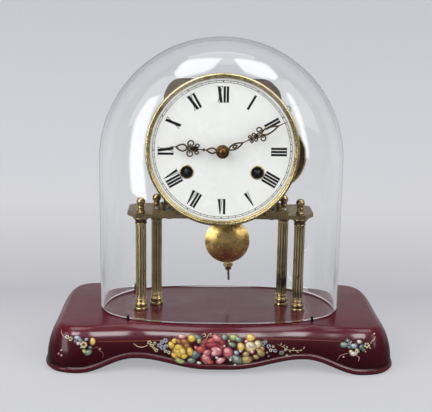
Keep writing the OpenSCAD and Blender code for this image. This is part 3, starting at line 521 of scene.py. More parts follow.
def minute_marks():
    """Sixty strokes round the dial and a lozenge at each fifth, stood out along a circle by rule."""
    r = Rule("minute_marks", [
        ("Radius", "Float", 50.0 * MM), ("Count", "Int", 60), ("Long", "Float", 1.3 * MM),
        ("Wide", "Float", 0.16 * MM), ("Corner", "Float", 0.0)])
    ring = r.out("GeometryNodeMeshCircle", {"Vertices": r.given["Count"], "Radius": r.given["Radius"]})
    mark = r.out("GeometryNodeMeshCube", {"Size": r.xyz(r.given["Long"], r.given["Wide"], 0.04 * MM)})
    lean = r.xyz(0.0, 0.0, r.given["Corner"])
    leant = r.out("GeometryNodeTransform", {"Geometry": mark, "Rotation": lean})
    at = r.out("GeometryNodeInputPosition")
    r.spread(ring, leant, r.out("FunctionNodeAlignEulerToVector", {"Vector": at}, axis="X"))
    stand = Matrix.Translation((0, (DIAL_Y - 0.03) * MM, DIAL_Z * MM)) @ Matrix.Rotation(math.pi / 2, 4, "X")
    for name, mat, values in (
            ("minute_strokes", TRACK, {"Count": 60, "Long": 1.25 * MM, "Wide": 0.36 * MM}),
            ("five_minute_marks", INK,
             {"Count": 12, "Long": 0.85 * MM, "Wide": 0.85 * MM, "Corner": math.pi / 4})):
        obj = placed(name, bpy.data.meshes.new(name))
        r.grow(obj, Finish=mat, **values)
        obj.data.transform(stand)
        settle(obj, mat, "case", smooth=False)


# Wooden base
def base_outline(steps):
    """A soft closed line that hangs in guide points round the lip of the base."""
    w, d = HALF_W, HALF_D
    half = [(0, 0.2 - d), (20, 0.2 - d), (40, 4.3 - d), (58, RECESS - d), (74, RECESS - 2 - d), (90, -d),
            (106, -d - 1.8), (w - 8.4, 1.8 - d), (w + 0.2, 13.8 - d), (w + 0.6, -32), (w, -10), (w, 12),
            (w, 32), (w - 3.4, 50), (w - 16.4, d - 0.8), (97, d + 0.8), (78, d - 2.3), (55, d - 5.3),
            (28, d - 6.5), (0, d - 6.8)]
    g = [Vector(p) for p in half + [(-x, y) for x, y in half[-2:0:-1]]]
    out, n = [], len(g)
    for i in range(n):
        a, b, c, d = g[i - 1], g[i], g[(i + 1) % n], g[(i + 2) % n]
        for t in [k / steps for k in range(steps)]:
            out.append(((1 - t) ** 3 * a + (3 * t ** 3 - 6 * t * t + 4) * b
                        + (1 + 3 * t + 3 * t * t - 3 * t ** 3) * c + t ** 3 * d) / 6)
    return out


def under(x):
    """Height of the lower edge above the table: an arch at each side of a low middle."""
    a, middle, crown, foot, low = abs(x), 8, 63, 104, 3.0
    if a < middle:
        return low
    if a < crown:
        return low + (ARCH - low) * (1 - math.cos(math.pi * (a - middle) / (crown - middle))) / 2
    return ARCH * (1 + math.cos(math.pi * (a - crown) / (foot - crown))) / 2 if a < foot else 0.0


def wooden_base():
    line = base_outline(9)
    n = len(line)
    ways = [line[(i + 1) % n] - line[i - 1] for i in range(n)]
    out = [Vector((d.y, -d.x)).normalized() for d in ways]
    # rings of (inset, height): the bead of the lip, then the rounded side up to the flat top
    lip = [(2.2, 0.9), (1.5, 1.0), (0.9, 1.3), (0.35, 1.8), (0.03, 2.4), (0.0, 3.0), (0.12, 3.6), (0.4, 4.1),
           (0.8, 4.5), (1.2, 4.8)]
    rings = [[(2.2, -1.0)] * n] + [[(inset, under(p.x) + up) for p in line] for inset, up in lip]
    side, (lip_in, lip_up) = 28, lip[-1]
    for k in range(1, side + 1):
        a = math.radians(90 * k / side)
        out_by = math.cos(a) ** (2 / BELLY) if k < side else 0.0
        rise = math.sin(a) ** (2 / BELLY)
        inset = TOP_INSET - (TOP_INSET - lip_in) * out_by
        rings.append([(inset, (under(p.x) + lip_up) * (1 - rise) + BASE_H * rise) for p in line])
    verts = [(p.x - o.x * inset, p.y - o.y * inset, z)
             for ring in rings for p, o, (inset, z) in zip(line, out, ring)]
    # the finer curve of the lip keeps within the box of the solids
    low, high = [[c / MM for c in corner] for corner in solid_box]
    verts = [(min(max(x, low[0]), high[0]), min(max(y, low[1]), high[1]), z) for x, y, z in verts]
    base = solid("lacquered_base", verts, bands(len(rings), n) + caps(n, (len(rings) - 1) * n))
    # the arches and the four counterbores are cut from below
    floor = [(-150, -3), (-150, 0)] + [(x, under(x)) for x in range(-104, 105, 2)] + [(150, 0), (150, -3)]
    m = len(floor)
    arch = solid("arch_cutter", [(x, y, z) for y in (-90, 90) for x, z in floor],
                 [end[::-1] for end in caps(m, m)] + bands(2, m))
    bore = [(0, -5), (6.0, -5), (6.0, 17.0), (0, 17.0)]
    drills = joined("rod_drills", [turned(bore, (x, y, 0), 32) for x, y in SPOTS])
    for cutter in (arch, drills):
        cut = base.modifiers.new("cut", "BOOLEAN")
        cut.operation, cut.solver, cut.object = "DIFFERENCE", "EXACT", cutter
    baked(base)
    for cutter in (arch, drills):
        bpy.data.objects.remove(cutter)
    settle(base, LACQUER, "case", ("wooden_base",), 32)
    return base


# Glass dome
def glass_dome():
    """A long oval shell with a half-round top and a rounded foot."""
    top, spring = BASE_H + DOME_H, BASE_H + DOME_H - DOME_A
    n, steps, foot = 192, 45, 1.5

    def ring(a, b, z, power):
        row = []
        for c, s in circle(n):
            x, y = a * abs(c) ** (2 / power), b * abs(s) ** (2 / power)
            row.append((math.copysign(x, c), math.copysign(y, s), z))
        return row

    def skin(w):
        """The rings of the shell at depth w in the glass, from the foot to the top."""
        a, b = DOME_A - w, DOME_B - w
        rows = [ring(a, b, z, POWER) for z in (BASE_H + foot, 60, 90, 120)]
        for k in range(steps):
            g = math.radians(90 * k / steps)
            z = spring + a * math.sin(g)
            lift = max(0.0, z - (top - w) + b)
            rows.append(ring(a * math.cos(g), math.sqrt(max(b * b - lift * lift, 0)), z,
                             POWER - (POWER - 2) * k / steps))
        return rows

    rim = []
    for a in [math.radians(d) for d in range(18, 163, 18)]:
        w = GLASS / 2 * (1 + math.cos(a))
        rim.append(ring(DOME_A - w, DOME_B - w, BASE_H + foot * (1 - math.sin(a)), POWER))
    rows = skin(GLASS)[::-1] + rim + skin(0.0)
    verts = [p for row in rows for p in row] + [(0, 0, top), (0, 0, top - GLASS)]
    last = (len(rows) - 1) * n
    faces = bands(len(rows), n) + [[last + i, last + (i + 1) % n, len(verts) - 2] for i in range(n)]
    faces += [[(i + 1) % n, i, len(verts) - 1] for i in range(n)]
    settle(solid("glass_cover", verts, faces), GLASS_MAT, "dome", ("glass_dome",), 60)


# Columns, feet, capitals, finials
def at_corners(kind):
    return [f"{kind}_{a}_{b}" for a in ("front", "back") for b in ("left", "right")]


FOOT = [(1.8, 0), (5.1, 0), (5.3, 0.2), (5.3, 1.7), (5.1, 2.0), (4.5, 2.1), *arc(3.3, 4.1, 1.7, -60, 60, 10),
        (4.0, 6.3), (3.9, 6.7), (4.5, 6.95), (4.7, 7.3), (4.6, 7.8), (4.4, 8.0), (1.8, 8.0)]
CAPITAL = [(1.8, 0), (4.3, 0), (4.6, 0.25), (4.65, 0.7), (4.4, 1.0), (4.15, 1.1), (4.2, 1.8), (4.5, 2.6),
           (5.0, 3.3), (5.7, 3.85), (5.75, 4.0), (6.0, 4.1), (6.1, 4.3), (6.1, 5.2), (5.9, 5.5), (1.8, 5.5)]
FINIAL = [(0, 0), (3.2, 0), (3.4, 0.2), (3.4, 0.8), (3.1, 1.0), (2.7, 1.4), (2.45, 2.0), (2.3, 3.0),
          (2.3, 3.8), (2.7, 4.15), (2.75, 4.5), (2.4, 4.9), *arc(0, 8.5, 3.3, -46, 90, 18)]


def column_trim():
    for name, profile, z, n, stands_for in (
            ("column_feet", FOOT, BASE_H, 64, at_corners("foot")),
            ("column_capitals", CAPITAL, CAP_Z, 64, at_corners("capital")),
            ("ball_finials", FINIAL, TOP_Z, 48, ["finials"])):
        obj = joined(name, [turned(profile, (x, y, z), n) for x, y in SPOTS])
        settle(obj, TURNED, "case", stands_for, 50)


# Bezel, dial, numerals
def on_dial(angle, y, drop=0.0):
    """Turns (across, along, up) at a clockwise angle into a place in front of the dial."""
    c, s = math.cos(math.radians(angle)), math.sin(math.radians(angle))
    return lambda u, v, up=0.0: (u * c + v * s, y - up, DIAL_Z - drop - u * s + v * c)


def bezel_and_dial():
    y = DIAL_Y
    ring = [(52.4, y), (52.4, y - 1.5), (52.55, y - 1.8), (52.9, y - 2.1), (53.15, y - 2.2), (53.3, y - 2.7),
            (53.5, y - 3.0), *arc(54.6, y - 2.7, 1.3, 215, 330), *arc(54.6, y - 1.5, 1.4, -28, 60),
            (54.8, y + 0.1), (54.5, y + 0.5), (54.5, y + 6.7), (54.2, y + 7.0), (53.5, y + 7.0), (53.5, y)]
    settle(joined("rolled_bezel", [turned(ring, (0, 0, DIAL_Z), 256, "Y")]), BEZEL, "case", ("bezel",),
           40)
    coat(nodes["dial_plate"].data, ENAMEL)
    eye = [(4.15, y + 1), (4.15, y - 0.25), (4.3, y - 0.45), (4.7, y - 0.5), (5.0, y - 0.4), (5.2, y - 0.15),
           (5.2, y), (4.55, y), (4.55, y + 1)]
    eyes = [turned(eye, (x, 0, DIAL_Z - WINDING_DROP), 48, "Y") for x in (-WINDING_X, WINDING_X)]
    settle(joined("winding_eyes", eyes), BEZEL, "case", ("winding_grommets",), 40)
    half, thin = 0.16, 0.05
    track = []
    for r in (49.35, 50.65):
        line = [(r - half, y), (r - half, y - thin), (r + half, y - thin), (r + half, y)]
        track.append(turned(line, (0, 0, DIAL_Z), 180, "Y"))
    settle(joined("minute_track_lines", track), TRACK, "case", smooth=False)
    numerals()
    minute_marks()


def letter(kind, m, w, low, high):
    """The strokes of one letter of width w about m, from low to high."""
    thick, thin, serif = 1.7, 0.42, 0.22
    wide = thick * 1.25

    def bar(a, b, lo, hi):
        return [(a, lo), (b, lo), (b, hi), (a, hi)]

    if kind == "I":
        return [bar(m - thick / 2, m + thick / 2, low, high)] + \
            [bar(m - w / 2, m + w / 2, e, e + 0.25) for e in (low, high - 0.25)]
    if kind == "V":
        left, right = m - w / 2 + 0.2, m + w / 2 - 0.2
        return [[(left, high), (m - 0.15, low), (m + 0.35, low), (left + wide, high)],
                [(m, low), (m + 0.3, low), (right, high), (right - thin, high)],
                bar(left - 0.35, left + thick + 0.5, high - serif, high),
                bar(right - 0.9, right + 0.45, high - serif, high)]
    left, right = m - w / 2 + 0.25, m + w / 2 - 0.25
    # the serifs below are short
    long, short = thick + 0.35, 0.95
    return [[(left, high), (right - wide, low), (right, low), (left + wide, high)],
            [(left + 0.1, low), (left + 0.1 + thin, low), (right - 0.1, high), (right - 0.1 - thin, high)],
            bar(left - 0.3, left - 0.3 + short, low, low + serif),
            bar(right - long, right - long + short, low, low + serif),
            bar(left - 0.3, left + long, high - serif, high),
            bar(right - long, right + 0.3, high - serif, high)]


def numerals():
    """Plain Roman numerals; in the lower half their heads point inward, so that they read upright."""
    low, high = 35.4, 46.9
    wide = {"I": 2.25, "V": 3.9, "X": 4.3}
    parts = []
    for hour, word in enumerate("XII I II III IIII V VI VII VIII IX X XI".split()):
        x = -sum(wide[c] for c in word) / 2
        for c in word:
            for stroke in letter(c, x + wide[c] / 2, wide[c], low, high):
                if 4 <= hour <= 8:
                    stroke = [(-u, low + high - v) for u, v in stroke]
                # strokes that cross lie at three slightly different heights
                lift = 0.05 + 0.004 * len(parts) % 0.012
                at, m = on_dial(hour * 30.0, DIAL_Y, 0.4), len(stroke)
                verts = [at(u, v, up) for up in (0.0, lift) for u, v in stroke]
                parts.append((verts, [end[::-1] for end in caps(m, m)] + bands(2, m)))
            x += wide[c]
    settle(joined("roman_numerals", parts), INK, "case", smooth=False)


# Hands
def scroll(cx, cy, r, start, turns):
    """A curl that starts on a circle of radius r and winds inward."""
    pts, n = [], 26
    for t in [i / n for i in range(n + 1)]:
        inward = r * (1 - 0.62 * t ** 1.2)
        a = math.radians(start - 360 * turns * t)
        pts.append((cx + inward * math.cos(a), cy + inward * math.sin(a)))
    return pts


def leaf_side(a, b, half, lean):
    """One side of a pointed leaf from a to b, widest at lean of its length."""
    out, n = [], 18
    for t in [i / n for i in range(n + 1)]:
        s = t / lean * 0.5 if t < lean else 0.5 + (t - lean) / (1 - lean) * 0.5
        out.append((half * math.sin(math.pi * s) ** 0.9, a + (b - a) * t))
    return out


def wire(points, r, tip):
    """A wire, a little flat in Y, along points (x, y, z), whose radius goes from r to tip."""
    n, flat = 8, 0.72
    verts = []
    pts = [Vector(p) for p in points]
    last = len(pts) - 1
    for i, p in enumerate(pts):
        d = (pts[min(i + 1, last)] - pts[max(i - 1, 0)]).normalized()
        side = Vector((0, 1, 0)).cross(d).normalized()
        over = d.cross(side)
        here = r + (tip - r) * i / last
        verts += [tuple(p + side * here * c + over * here * flat * s) for c, s in circle(n)]
    return verts, bands(len(pts), n) + caps(n, last * n)


def make_hand(name, node, angle, y, length, boss, ends, shape):
    """A pierced hand: wires for its leaves, scrolls and bars, and beads where they meet."""
    at = on_dial(angle, y)
    parts = []

    def lay(pts, r, tip=None):
        parts.append(wire([at(u, v) for u, v in pts], r, tip or r))

    for s in (-1, 1):
        for kind, *p in shape:
            if kind == "leaf":
                lay([(s * u, v) for u, v in leaf_side(*p)], 0.6)
            elif kind == "scroll":
                lay([(s * u, v) for u, v in scroll(*p)], 0.6, 0.4)
            elif kind == "curl":
                lay([(s * q.x, q.y) for q in smooth_line([(u, v) for u, v in p], 5)], 0.56, 0.42)
            elif kind == "bead":
                cx, cy, r = p
                bead = [(0, -0.32), *arc(0, 0, r, -60, 60, 4)[1:-1], (0, 0.32)]
                v, f = turned(bead, (0, 0, 0), 10, "Y")
                mid = at(s * cx, cy, 0.12)
                parts.append(([(q[0] + mid[0], q[1] * 0.9 + mid[1], q[2] + mid[2]) for q in v], f))
    for kind, *p in shape:
        if kind == "bar":
            lay([(0, p[0]), (0, (p[0] + p[1]) / 2), (0, p[1])], p[2])
        elif kind == "collar":
            lay([(-p[1], p[0]), (0, p[0]), (p[1], p[0])], 0.62)
    lay([(0, ends - 1.2), (0, length - 3), (0, length)], 0.5, 0.16)
    eye = [(boss, -0.35), (boss + 1.6, -0.35), (boss + 1.9, -0.1), (boss + 1.9, 0.25), (boss + 1.7, 0.35),
           (boss, 0.35)]
    parts.append(turned(eye, at(0, 0), 48, "Y"))
    settle(joined(name, parts), HANDS, node + "s", (node,), 50)


def hands():
    make_hand("hour_hand_work", "hour_hand", *HOUR, 38.0, 3.0, 33.6, [
        ("leaf", 4.0, 11.6, 1.9, 0.42), ("bar", 11.0, 17.4, 0.42), ("collar", 13.5, 1.1),
        ("bead", 0.0, 17.6, 0.8), ("scroll", 2.3, 18.3, 1.75, 200, 1.25), ("bead", 0.0, 20.0, 1.0),
        ("bead", 1.3, 20.6, 0.75), ("bar", 17.4, 26.5, 0.45), ("scroll", 3.7, 23.0, 2.75, 215, 1.3),
        ("curl", (0.2, 20.3), (1.6, 21.4), (1.5, 20.9)), ("bead", 0.0, 22.0, 1.1),
        ("curl", (0.2, 25.8), (1.3, 24.6), (2.0, 23.4)), ("leaf", 25.2, 33.6, 2.45, 0.42)])
    make_hand("minute_hand_work", "minute_hand", *MINUTE, 51.3, 1.9, 44.0, [
        ("leaf", 4.4, 16.0, 1.9, 0.45), ("bar", 15.4, 22.0, 0.42),
        ("curl", (0.0, 8.0), (0.9, 9.5), (0.0, 12.0)), ("bead", 0.0, 21.0, 0.75),
        ("scroll", 1.7, 22.3, 1.25, 200, 1.2), ("scroll", 1.9, 25.4, 1.45, 200, 1.2),
        ("bar", 22.0, 30.0, 0.45), ("bead", 0.0, 24.0, 0.9), ("bead", 0.0, 27.4, 1.2),
        ("bead", 1.2, 27.6, 0.7), ("scroll", 3.4, 30.4, 2.35, 215, 1.3),
        ("curl", (0.2, 27.4), (1.4, 28.4), (1.5, 29.0)), ("leaf", 30.6, 44.0, 2.15, 0.32)])
    y, dome_r = NUT_Y, 3.05
    nut = [(1.9, y), (4.1, y), (4.45, y - 0.25), (4.5, y - 0.6), (4.3, y - 0.95), (3.9, y - 1.1),
           (3.4, y - 1.0), (3.2, y - 1.15)]
    for r in (3.0, 2.8, 2.4, 1.9, 1.3, 0.7, 0.0):
        nut.append((r, y - 1.2 - 1.75 * math.sqrt(1 - (r / dome_r) ** 2)))
    nut += [(0, y - 2.2), (1.9, y - 2.2)]
    settle(joined("hand_boss", [turned(nut, (0, 0, DIAL_Z), 64, "Y")]), BOSS, "minute_hands", ("hand_nut",),
           40)


# Painted flowers on the front of the base
class Brush:
    """Lays thin touches of colour on the wood, each a hair higher than the last."""
    edge, hair = 0.00001, 0.0000011

    def __init__(self, wood):
        bm = bmesh.new()
        bm.from_mesh(wood.data)
        self.skin = BVHTree.FromBMesh(bm)
        bm.free()
        self.verts, self.faces, self.paint = [], [], []
        self.lift = 0.00006

    def sight(self, px, py):
        """The point of the wood that the camera sees at a place of the picture, and the directions there."""
        d = (EYE_LOOK * REACH + EYE_RIGHT * (px - MID_X) - EYE_UP * (py - MID_Y)).normalized()
        hit, normal, _, _ = self.skin.ray_cast(EYE_AT, d)
        if hit is None:
            return None
        across = Vector((0, 0, 1)).cross(normal)
        across = across.normalized() if across.length > 1e-4 else Vector((1, 0, 0))
        if across.x < 0:
            across = -across
        over = normal.cross(across)
        return hit, across, (over if over.z > 0 else -over)

    def patch(self, centre, a, b, outline, colours):
        """A patch round centre: outline in millimetres along a and b, colours from the middle outwards."""
        k, n = len(self.verts), len(outline)
        self.lift += self.hair
        for ri, f in enumerate((0.0, 0.55, 0.85, 1.0)):
            for u, v in (outline if f else [(0, 0)]):
                near, normal, _, _ = self.skin.find_nearest(centre + a * (u * f * MM) + b * (v * f * MM))
                self.verts.append(near + normal * (self.lift if f < 1 else self.edge))
                self.paint.append(colours[min(ri, len(colours) - 1)])
        for i in range(n):
            j = (i + 1) % n
            self.faces.append([k, k + 1 + i, k + 1 + j])
            for p in (k + 1, k + 1 + n):
                self.faces.append([p + i, p + n + i, p + n + j, p + j])

    def oval(self, px, py, rx, ry, turn, *colours, point=0.0):
        """An oval touch, or a pointed petal where point is above 0."""
        at = self.sight(px, py)
        if at is None:
            return
        t = math.radians(turn)
        out = []
        for c, s in circle(14):
            u, v = rx * c, ry * s * (1 - point * (0.5 + 0.5 * c) ** 1.5)
            out.append((u * math.cos(t) - v * math.sin(t), u * math.sin(t) + v * math.cos(t)))
        self.patch(*at, out, colours)

    def line(self, pts, width, colour, ends=0.25):
        """A stroke of the fine brush through places of the picture."""
        seen = [self.sight(p.x, p.y) for p in smooth_line(pts, 7)]
        row = [at[0] for at in seen if at]
        if len(row) < 3:
            return
        self.lift += self.hair
        k, last = len(self.verts), len(row) - 1
        for i, c in enumerate(row):
            near, normal, _, _ = self.skin.find_nearest(c)
            side = normal.cross((row[min(i + 1, last)] - row[max(i - 1, 0)]).normalized())
            t = i / last
            w = width * MM * 0.5 * (ends + (1 - ends) * math.sin(math.pi * t) ** 0.6)
            for s, h in ((-1, self.edge), (0, self.lift), (1, self.edge)):
                self.verts.append(near + side * w * s + normal * h)
                self.paint.append(colour)
        for p in [k + i * 3 + j for i in range(last) for j in (0, 1)]:
            self.faces.append([p, p + 1, p + 4, p + 3])

    def face_front(self, bm):
        for f in bm.faces:
            f.normal_update()
            near = self.skin.find_nearest(f.calc_center_median())
            if f.normal.dot(near[1]) < 0:
                f.normal_flip()

    def done(self, name):
        me = bpy.data.meshes.new(name)
        me.from_pydata(self.verts, [], self.faces)
        layer = me.color_attributes.new("paint", "FLOAT_COLOR", "POINT")
        for point, c in zip(layer.data, self.paint):
            point.color = c
        rework(me, me, self.face_front)
        settle(placed(name, me), PAINT, "case", angle=60)


CREAM, WHITE, GREY, BLUE, PINK, PALE, SAGE, OLIVE, BROWN = tints(
    (214, 194, 152), (216, 210, 198), (132, 140, 136), (158, 166, 184), (190, 112, 116), (218, 172, 166),
    (92, 104, 88), (96, 84, 46), (70, 34, 20))
# for each kind of petal: the touch of light on it, its colour, and the shade at its rim
KINDS = {kind: tints(*tones) for kind, tones in {
    "yellow": ((236, 214, 104), (204, 170, 58), (122, 84, 24)),
    "honey": ((240, 218, 144), (214, 182, 96), (132, 98, 44)),
    "cream": ((240, 230, 200), (212, 192, 144), (128, 100, 60)),
    "tan": ((206, 182, 126), (158, 134, 84), (84, 60, 34)),
    "rust": ((184, 126, 74), (138, 84, 42), (74, 32, 18)),
    "coral": ((204, 110, 92), (168, 66, 58), (92, 16, 26)),
    "pink": ((224, 164, 160), (184, 102, 108), (108, 26, 42)),
    "rose": ((168, 72, 80), (126, 34, 48), (66, 6, 18)),
    "blush": ((238, 206, 200), (206, 146, 144), (136, 60, 70)),
    "shade": ((84, 20, 30), (52, 8, 16), (40, 4, 12)),
    "sage": ((170, 180, 164), (112, 126, 112), (52, 62, 52)),
    "teal": ((140, 158, 160), (84, 102, 104), (40, 50, 52)),
    "fresh": ((206, 206, 132), (146, 158, 96), (70, 76, 48)),
    "dusk": ((206, 212, 220), (146, 156, 172), (72, 76, 96)),
    "milk": ((232, 226, 216), (190, 182, 172), (110, 96, 96))
}.items()}

# pixels of the picture in a millimetre of the wood, across and down, and millimetres in a pixel across
ACROSS, DOWN, PIXEL = 1.36, 1.28, 0.735

# The tables of the painting hold places of the picture and sizes in millimetres.
# the thin gold lines, and the stems at both sides of the garland
GOLD_LINES = (
    ((97, 341.6), (134.5, 341.0), (172, 340.2)), ((262, 338.8), (301.5, 339.6), (341, 341.4))
)
LEFT_STEM = [(133.5, 343.5), (138, 346.5), (143, 347), (148, 345)]
RIGHT_STEM = [(277, 344), (283, 347), (289, 350), (296, 350.5), (302, 350.5)]
# petals and leaves, from the lowest layer up: place, half length, half width, turn, kind
PETALS = (
    # leaves
    (197.5, 337.6, 3.4, 2.2, -15, "teal"), (199.3, 341, 1.9, 1.5, 60, "fresh"),
    (224.6, 337.4, 2.3, 1.9, 30, "sage"), (234, 337.6, 3.6, 2.2, 10, "fresh"),
    (238.2, 339.6, 2.7, 1.9, -20, "sage"), (232, 344.6, 3.0, 1.7, -15, "sage"),
    (195.5, 354.5, 4.2, 3.0, 30, "teal"), (191.4, 360.6, 3.0, 2.1, 10, "sage"),
    (199, 363, 1.7, 1.4, 0, "milk"), (180, 361, 3.6, 2.2, -15, "fresh"),
    (237, 359.6, 4.8, 3.2, -20, "sage"), (231.5, 358.6, 1.7, 2.1, 60, "teal"),
    # yellow rose
    (171.3, 345, 2.4, 2.7, 30, "yellow"), (174.4, 341, 2.3, 1.8, 50, "yellow"),
    (178.6, 341.4, 2.4, 1.9, -20, "rust"), (182, 336.6, 2.9, 1.6, 8, "blush"),
    (185, 342.2, 3.2, 2.5, -20, "rust"), (187, 346.6, 2.3, 2.6, -40, "rust"),
    (190, 351.6, 2.4, 3.5, 15, "yellow"), (174.6, 355.6, 2.8, 2.0, -35, "yellow"),
    (184.6, 356.4, 2.6, 1.9, 30, "yellow"), (179.4, 351.4, 5.0, 4.7, 0, "yellow"),
    (178.6, 347.4, 3.4, 2.3, 12, "yellow"), (182.6, 351.6, 2.4, 2.6, 70, "honey"),
    (191.8, 338.4, 2.9, 2.7, 20, "yellow"), (195.8, 347.6, 1.2, 1.4, 30, "pink"),
    # peony
    (205.6, 342.4, 4.2, 2.2, 32, "rose"), (211.6, 341.2, 3.6, 2.0, 20, "coral"),
    (222.4, 343, 2.8, 2.1, -35, "rose"), (216.8, 338.4, 3.7, 2.5, -20, "pink"),
    (204, 346.8, 3.2, 2.0, 30, "rose"), (213.6, 345.6, 6.6, 2.6, 3, "rose"),
    (200.8, 349.8, 3.6, 2.6, 15, "coral"), (222.4, 348, 2.4, 2.3, -50, "rose"),
    (228, 352.4, 3.6, 4.1, -10, "pink"), (207, 353, 3.2, 2.2, 35, "pink"),
    (206.2, 358.8, 3.7, 3.2, -12, "pink"), (210, 362.4, 2.6, 1.8, 10, "coral"),
    (220.6, 360.6, 3.4, 2.2, 22, "blush"), (213.2, 357.6, 2.2, 1.8, 10, "shade"),
    (216.4, 351.2, 4.3, 3.5, -10, "pink"), (214.6, 353.6, 2.6, 1.9, 20, "blush"),
    (218.6, 349.6, 2.0, 1.5, -20, "blush"), (216.8, 357.8, 1.5, 1.0, -40, "milk"),
    (204.4, 356, 1.5, 1.1, 20, "blush"),
    # cream rose
    (247, 360, 4.1, 3.3, 10, "tan"), (260, 352.4, 4.0, 2.8, -35, "tan"), (256, 357, 2.4, 1.8, -20, "tan"),
    (257.6, 344.6, 2.4, 3.2, -20, "cream"), (241, 347, 2.6, 3.4, 10, "honey"),
    (246, 354.4, 2.6, 2.1, 20, "tan"), (250.6, 337.8, 3.3, 3.0, 0, "honey"),
    (246.6, 341.6, 1.6, 1.3, 20, "blush"), (254.4, 352.4, 2.4, 1.9, 10, "shade"),
    (250.9, 346.8, 4.3, 4.2, 0, "cream"), (251.6, 345.4, 2.4, 2.0, 0, "milk"),
    (252.2, 351.8, 1.6, 1.4, 30, "blush"), (262.4, 348.6, 1.8, 1.6, -40, "tan"),
    # buds
    (236.4, 352.8, 1.9, 1.7, 0, "dusk"), (230.4, 359.8, 1.1, 1.0, 0, "milk"),
    (224.4, 346, 0.9, 0.8, 0, "milk"), (229, 341, 0.8, 0.7, 0, "cream"), (240.5, 351, 1.1, 1.0, 0, "milk"),
    (235, 365, 0.8, 0.7, 0, "milk")
)
# fine strokes over the flowers: places, width, colour
STROKES = (
    ([(202, 335), (204.5, 333.5), (205.5, 336), (202.5, 337)], 0.5, WHITE),
    ([(206, 340), (208.5, 335), (211.5, 333.5), (209.5, 336.5)], 0.5, CREAM),
    ([(210, 336), (214, 335.5), (217, 333.5)], 0.45, CREAM),
    ([(231, 336), (232.5, 334), (234.5, 335.5)], 0.45, CREAM),
    ([(237.5, 334.5), (240, 336.5), (241.5, 334.5)], 0.45, WHITE),
    ([(173, 350), (176, 346.5), (181, 345.5), (185, 348.5)], 0.4, BROWN),
    ([(183, 342), (186.5, 346), (187.3, 351), (185, 355.5)], 0.5, BROWN),
    ([(247.6, 352.8), (251, 354.6), (256.4, 352)], 0.55, BROWN),
    ([(245.6, 350), (245.6, 344.6), (249, 341.8), (254, 342), (256.2, 346)], 0.35, BROWN),
    ([(249, 346), (252, 344.8), (254, 347.4), (251.6, 349.6)], 0.4, PINK),
    ([(215, 351), (218.5, 352.4), (217.4, 356)], 0.4, WHITE),
    ([(210.5, 350), (213, 347.8), (217, 347.4)], 0.45, PALE),
    ([(225.4, 356.6), (229.4, 358), (232, 354)], 0.4, PALE),
    ([(203, 361), (206, 363.4), (209, 361.6)], 0.4, PALE),
    ([(201, 345.4), (206, 342), (212, 340.6)], 0.4, PALE),
    ([(256, 349.4), (260, 346.8), (263, 348.4)], 0.4, BROWN)
)
# small flowers to the left of the garland: place, size
CREAM_STARS = (
    (149.5, 342.5, 1.84), (152, 345.5, 1.6), (154.8, 343.2, 1.28), (154, 348.2, 1.12), (156.3, 350.2, 1.6)
)
BLUE_STARS = (
    (159.5, 345.5, 1.9), (162.5, 347.3, 2.185), (162, 342, 1.71), (165.5, 340.5, 1.995), (166, 346, 1.71),
    (165.5, 351, 1.425), (168.8, 352.4, 1.425)
)
# and to its right: place, size, colour
STARS_RIGHT = (
    (262.6, 343.6, 2.2, GREY), (265.4, 341.6, 1.5, BLUE), (268.6, 346.2, 1.8, BLUE),
    (273, 346.4, 1.2, PALE), (270.6, 350, 1.5, WHITE), (275, 350.6, 1.6, BLUE), (281.5, 352.6, 2.0, GREY),
    (285.4, 349.6, 1.2, WHITE), (267, 352.4, 0.8, CREAM), (268.4, 356, 0.8, GREY),
    (286.5, 355.2, 0.9, CREAM)
)
# leaves of the right tendril: place, turn
TENDRIL = (
    (281, 344, 60), (284, 345.5, 40), (287, 347, -40), (290, 351.5, -30), (293.5, 348.5, 40),
    (297.5, 351.8, -20), (301, 350, 30), (304, 347.8, 60)
)
# the sprays at both ends of the front
SPRAY_STROKES = (
    ([(61.7, 330), (61.5, 333), (63.5, 336), (66, 338)], 0.5, PALE),
    ([(93, 349), (97, 347), (99.5, 350.5), (103, 353), (102.8, 358)], 0.45, tint(150, 108, 92)),
    ([(375, 336.5), (374.5, 339.5), (372, 341), (370.5, 344)], 0.7, PALE),
    ([(350, 353), (345, 354), (340, 356), (337, 361)], 0.5, tint(170, 134, 126)),
    ([(356, 355.5), (359.2, 357.5), (358.3, 361.5)], 0.5, PALE),
    ([(344.5, 342), (346.5, 339), (347.8, 338)], 0.35, GREY)
)
SPRAY_PETALS = (
    (77.6, 338, 2.6, 1.7, -10, "dusk"), (80.5, 340.6, 1.6, 1.2, 20, "sage"),
    (78.5, 343.4, 1.6, 1.2, 30, "milk"), (88.4, 352.6, 2.9, 1.9, 30, "sage"),
    (84.6, 351.4, 2.0, 1.4, -40, "fresh"), (90.5, 347.6, 1.6, 1.2, 40, "teal"),
    (92.8, 341.4, 1.9, 2.9, 0, "honey"), (86.5, 339.4, 1.5, 1.0, 20, "dusk"),
    (361.4, 347, 2.3, 1.5, 60, "teal"), (354, 346, 2.6, 1.8, 20, "dusk"), (344.4, 345, 3.2, 2.2, 5, "sage"),
    (349.5, 347.2, 1.7, 1.3, -20, "teal"), (357.4, 350.4, 2.1, 1.4, -50, "fresh"),
    (359.4, 341.8, 1.9, 1.5, 0, "milk"), (351, 351.6, 1.5, 1.3, 0, "cream"),
    (353.8, 353.8, 2.8, 1.7, 8, "milk"), (348, 340.8, 1.5, 1.1, 30, "sage")
)
SPRAY_STARS = (
    (67.4, 337, 1.7, WHITE, 5), (70.6, 338.8, 1.9, CREAM, 5), (83.6, 344.6, 2.9, CREAM, 6),
    (75.4, 341.4, 1.2, BLUE, 5), (366.7, 345.3, 2.4, CREAM, 5), (356.6, 351.4, 1.5, WHITE, 5),
    (349.6, 343.6, 1.3, BLUE, 5), (363.4, 349.6, 1.2, GREY, 5)
)
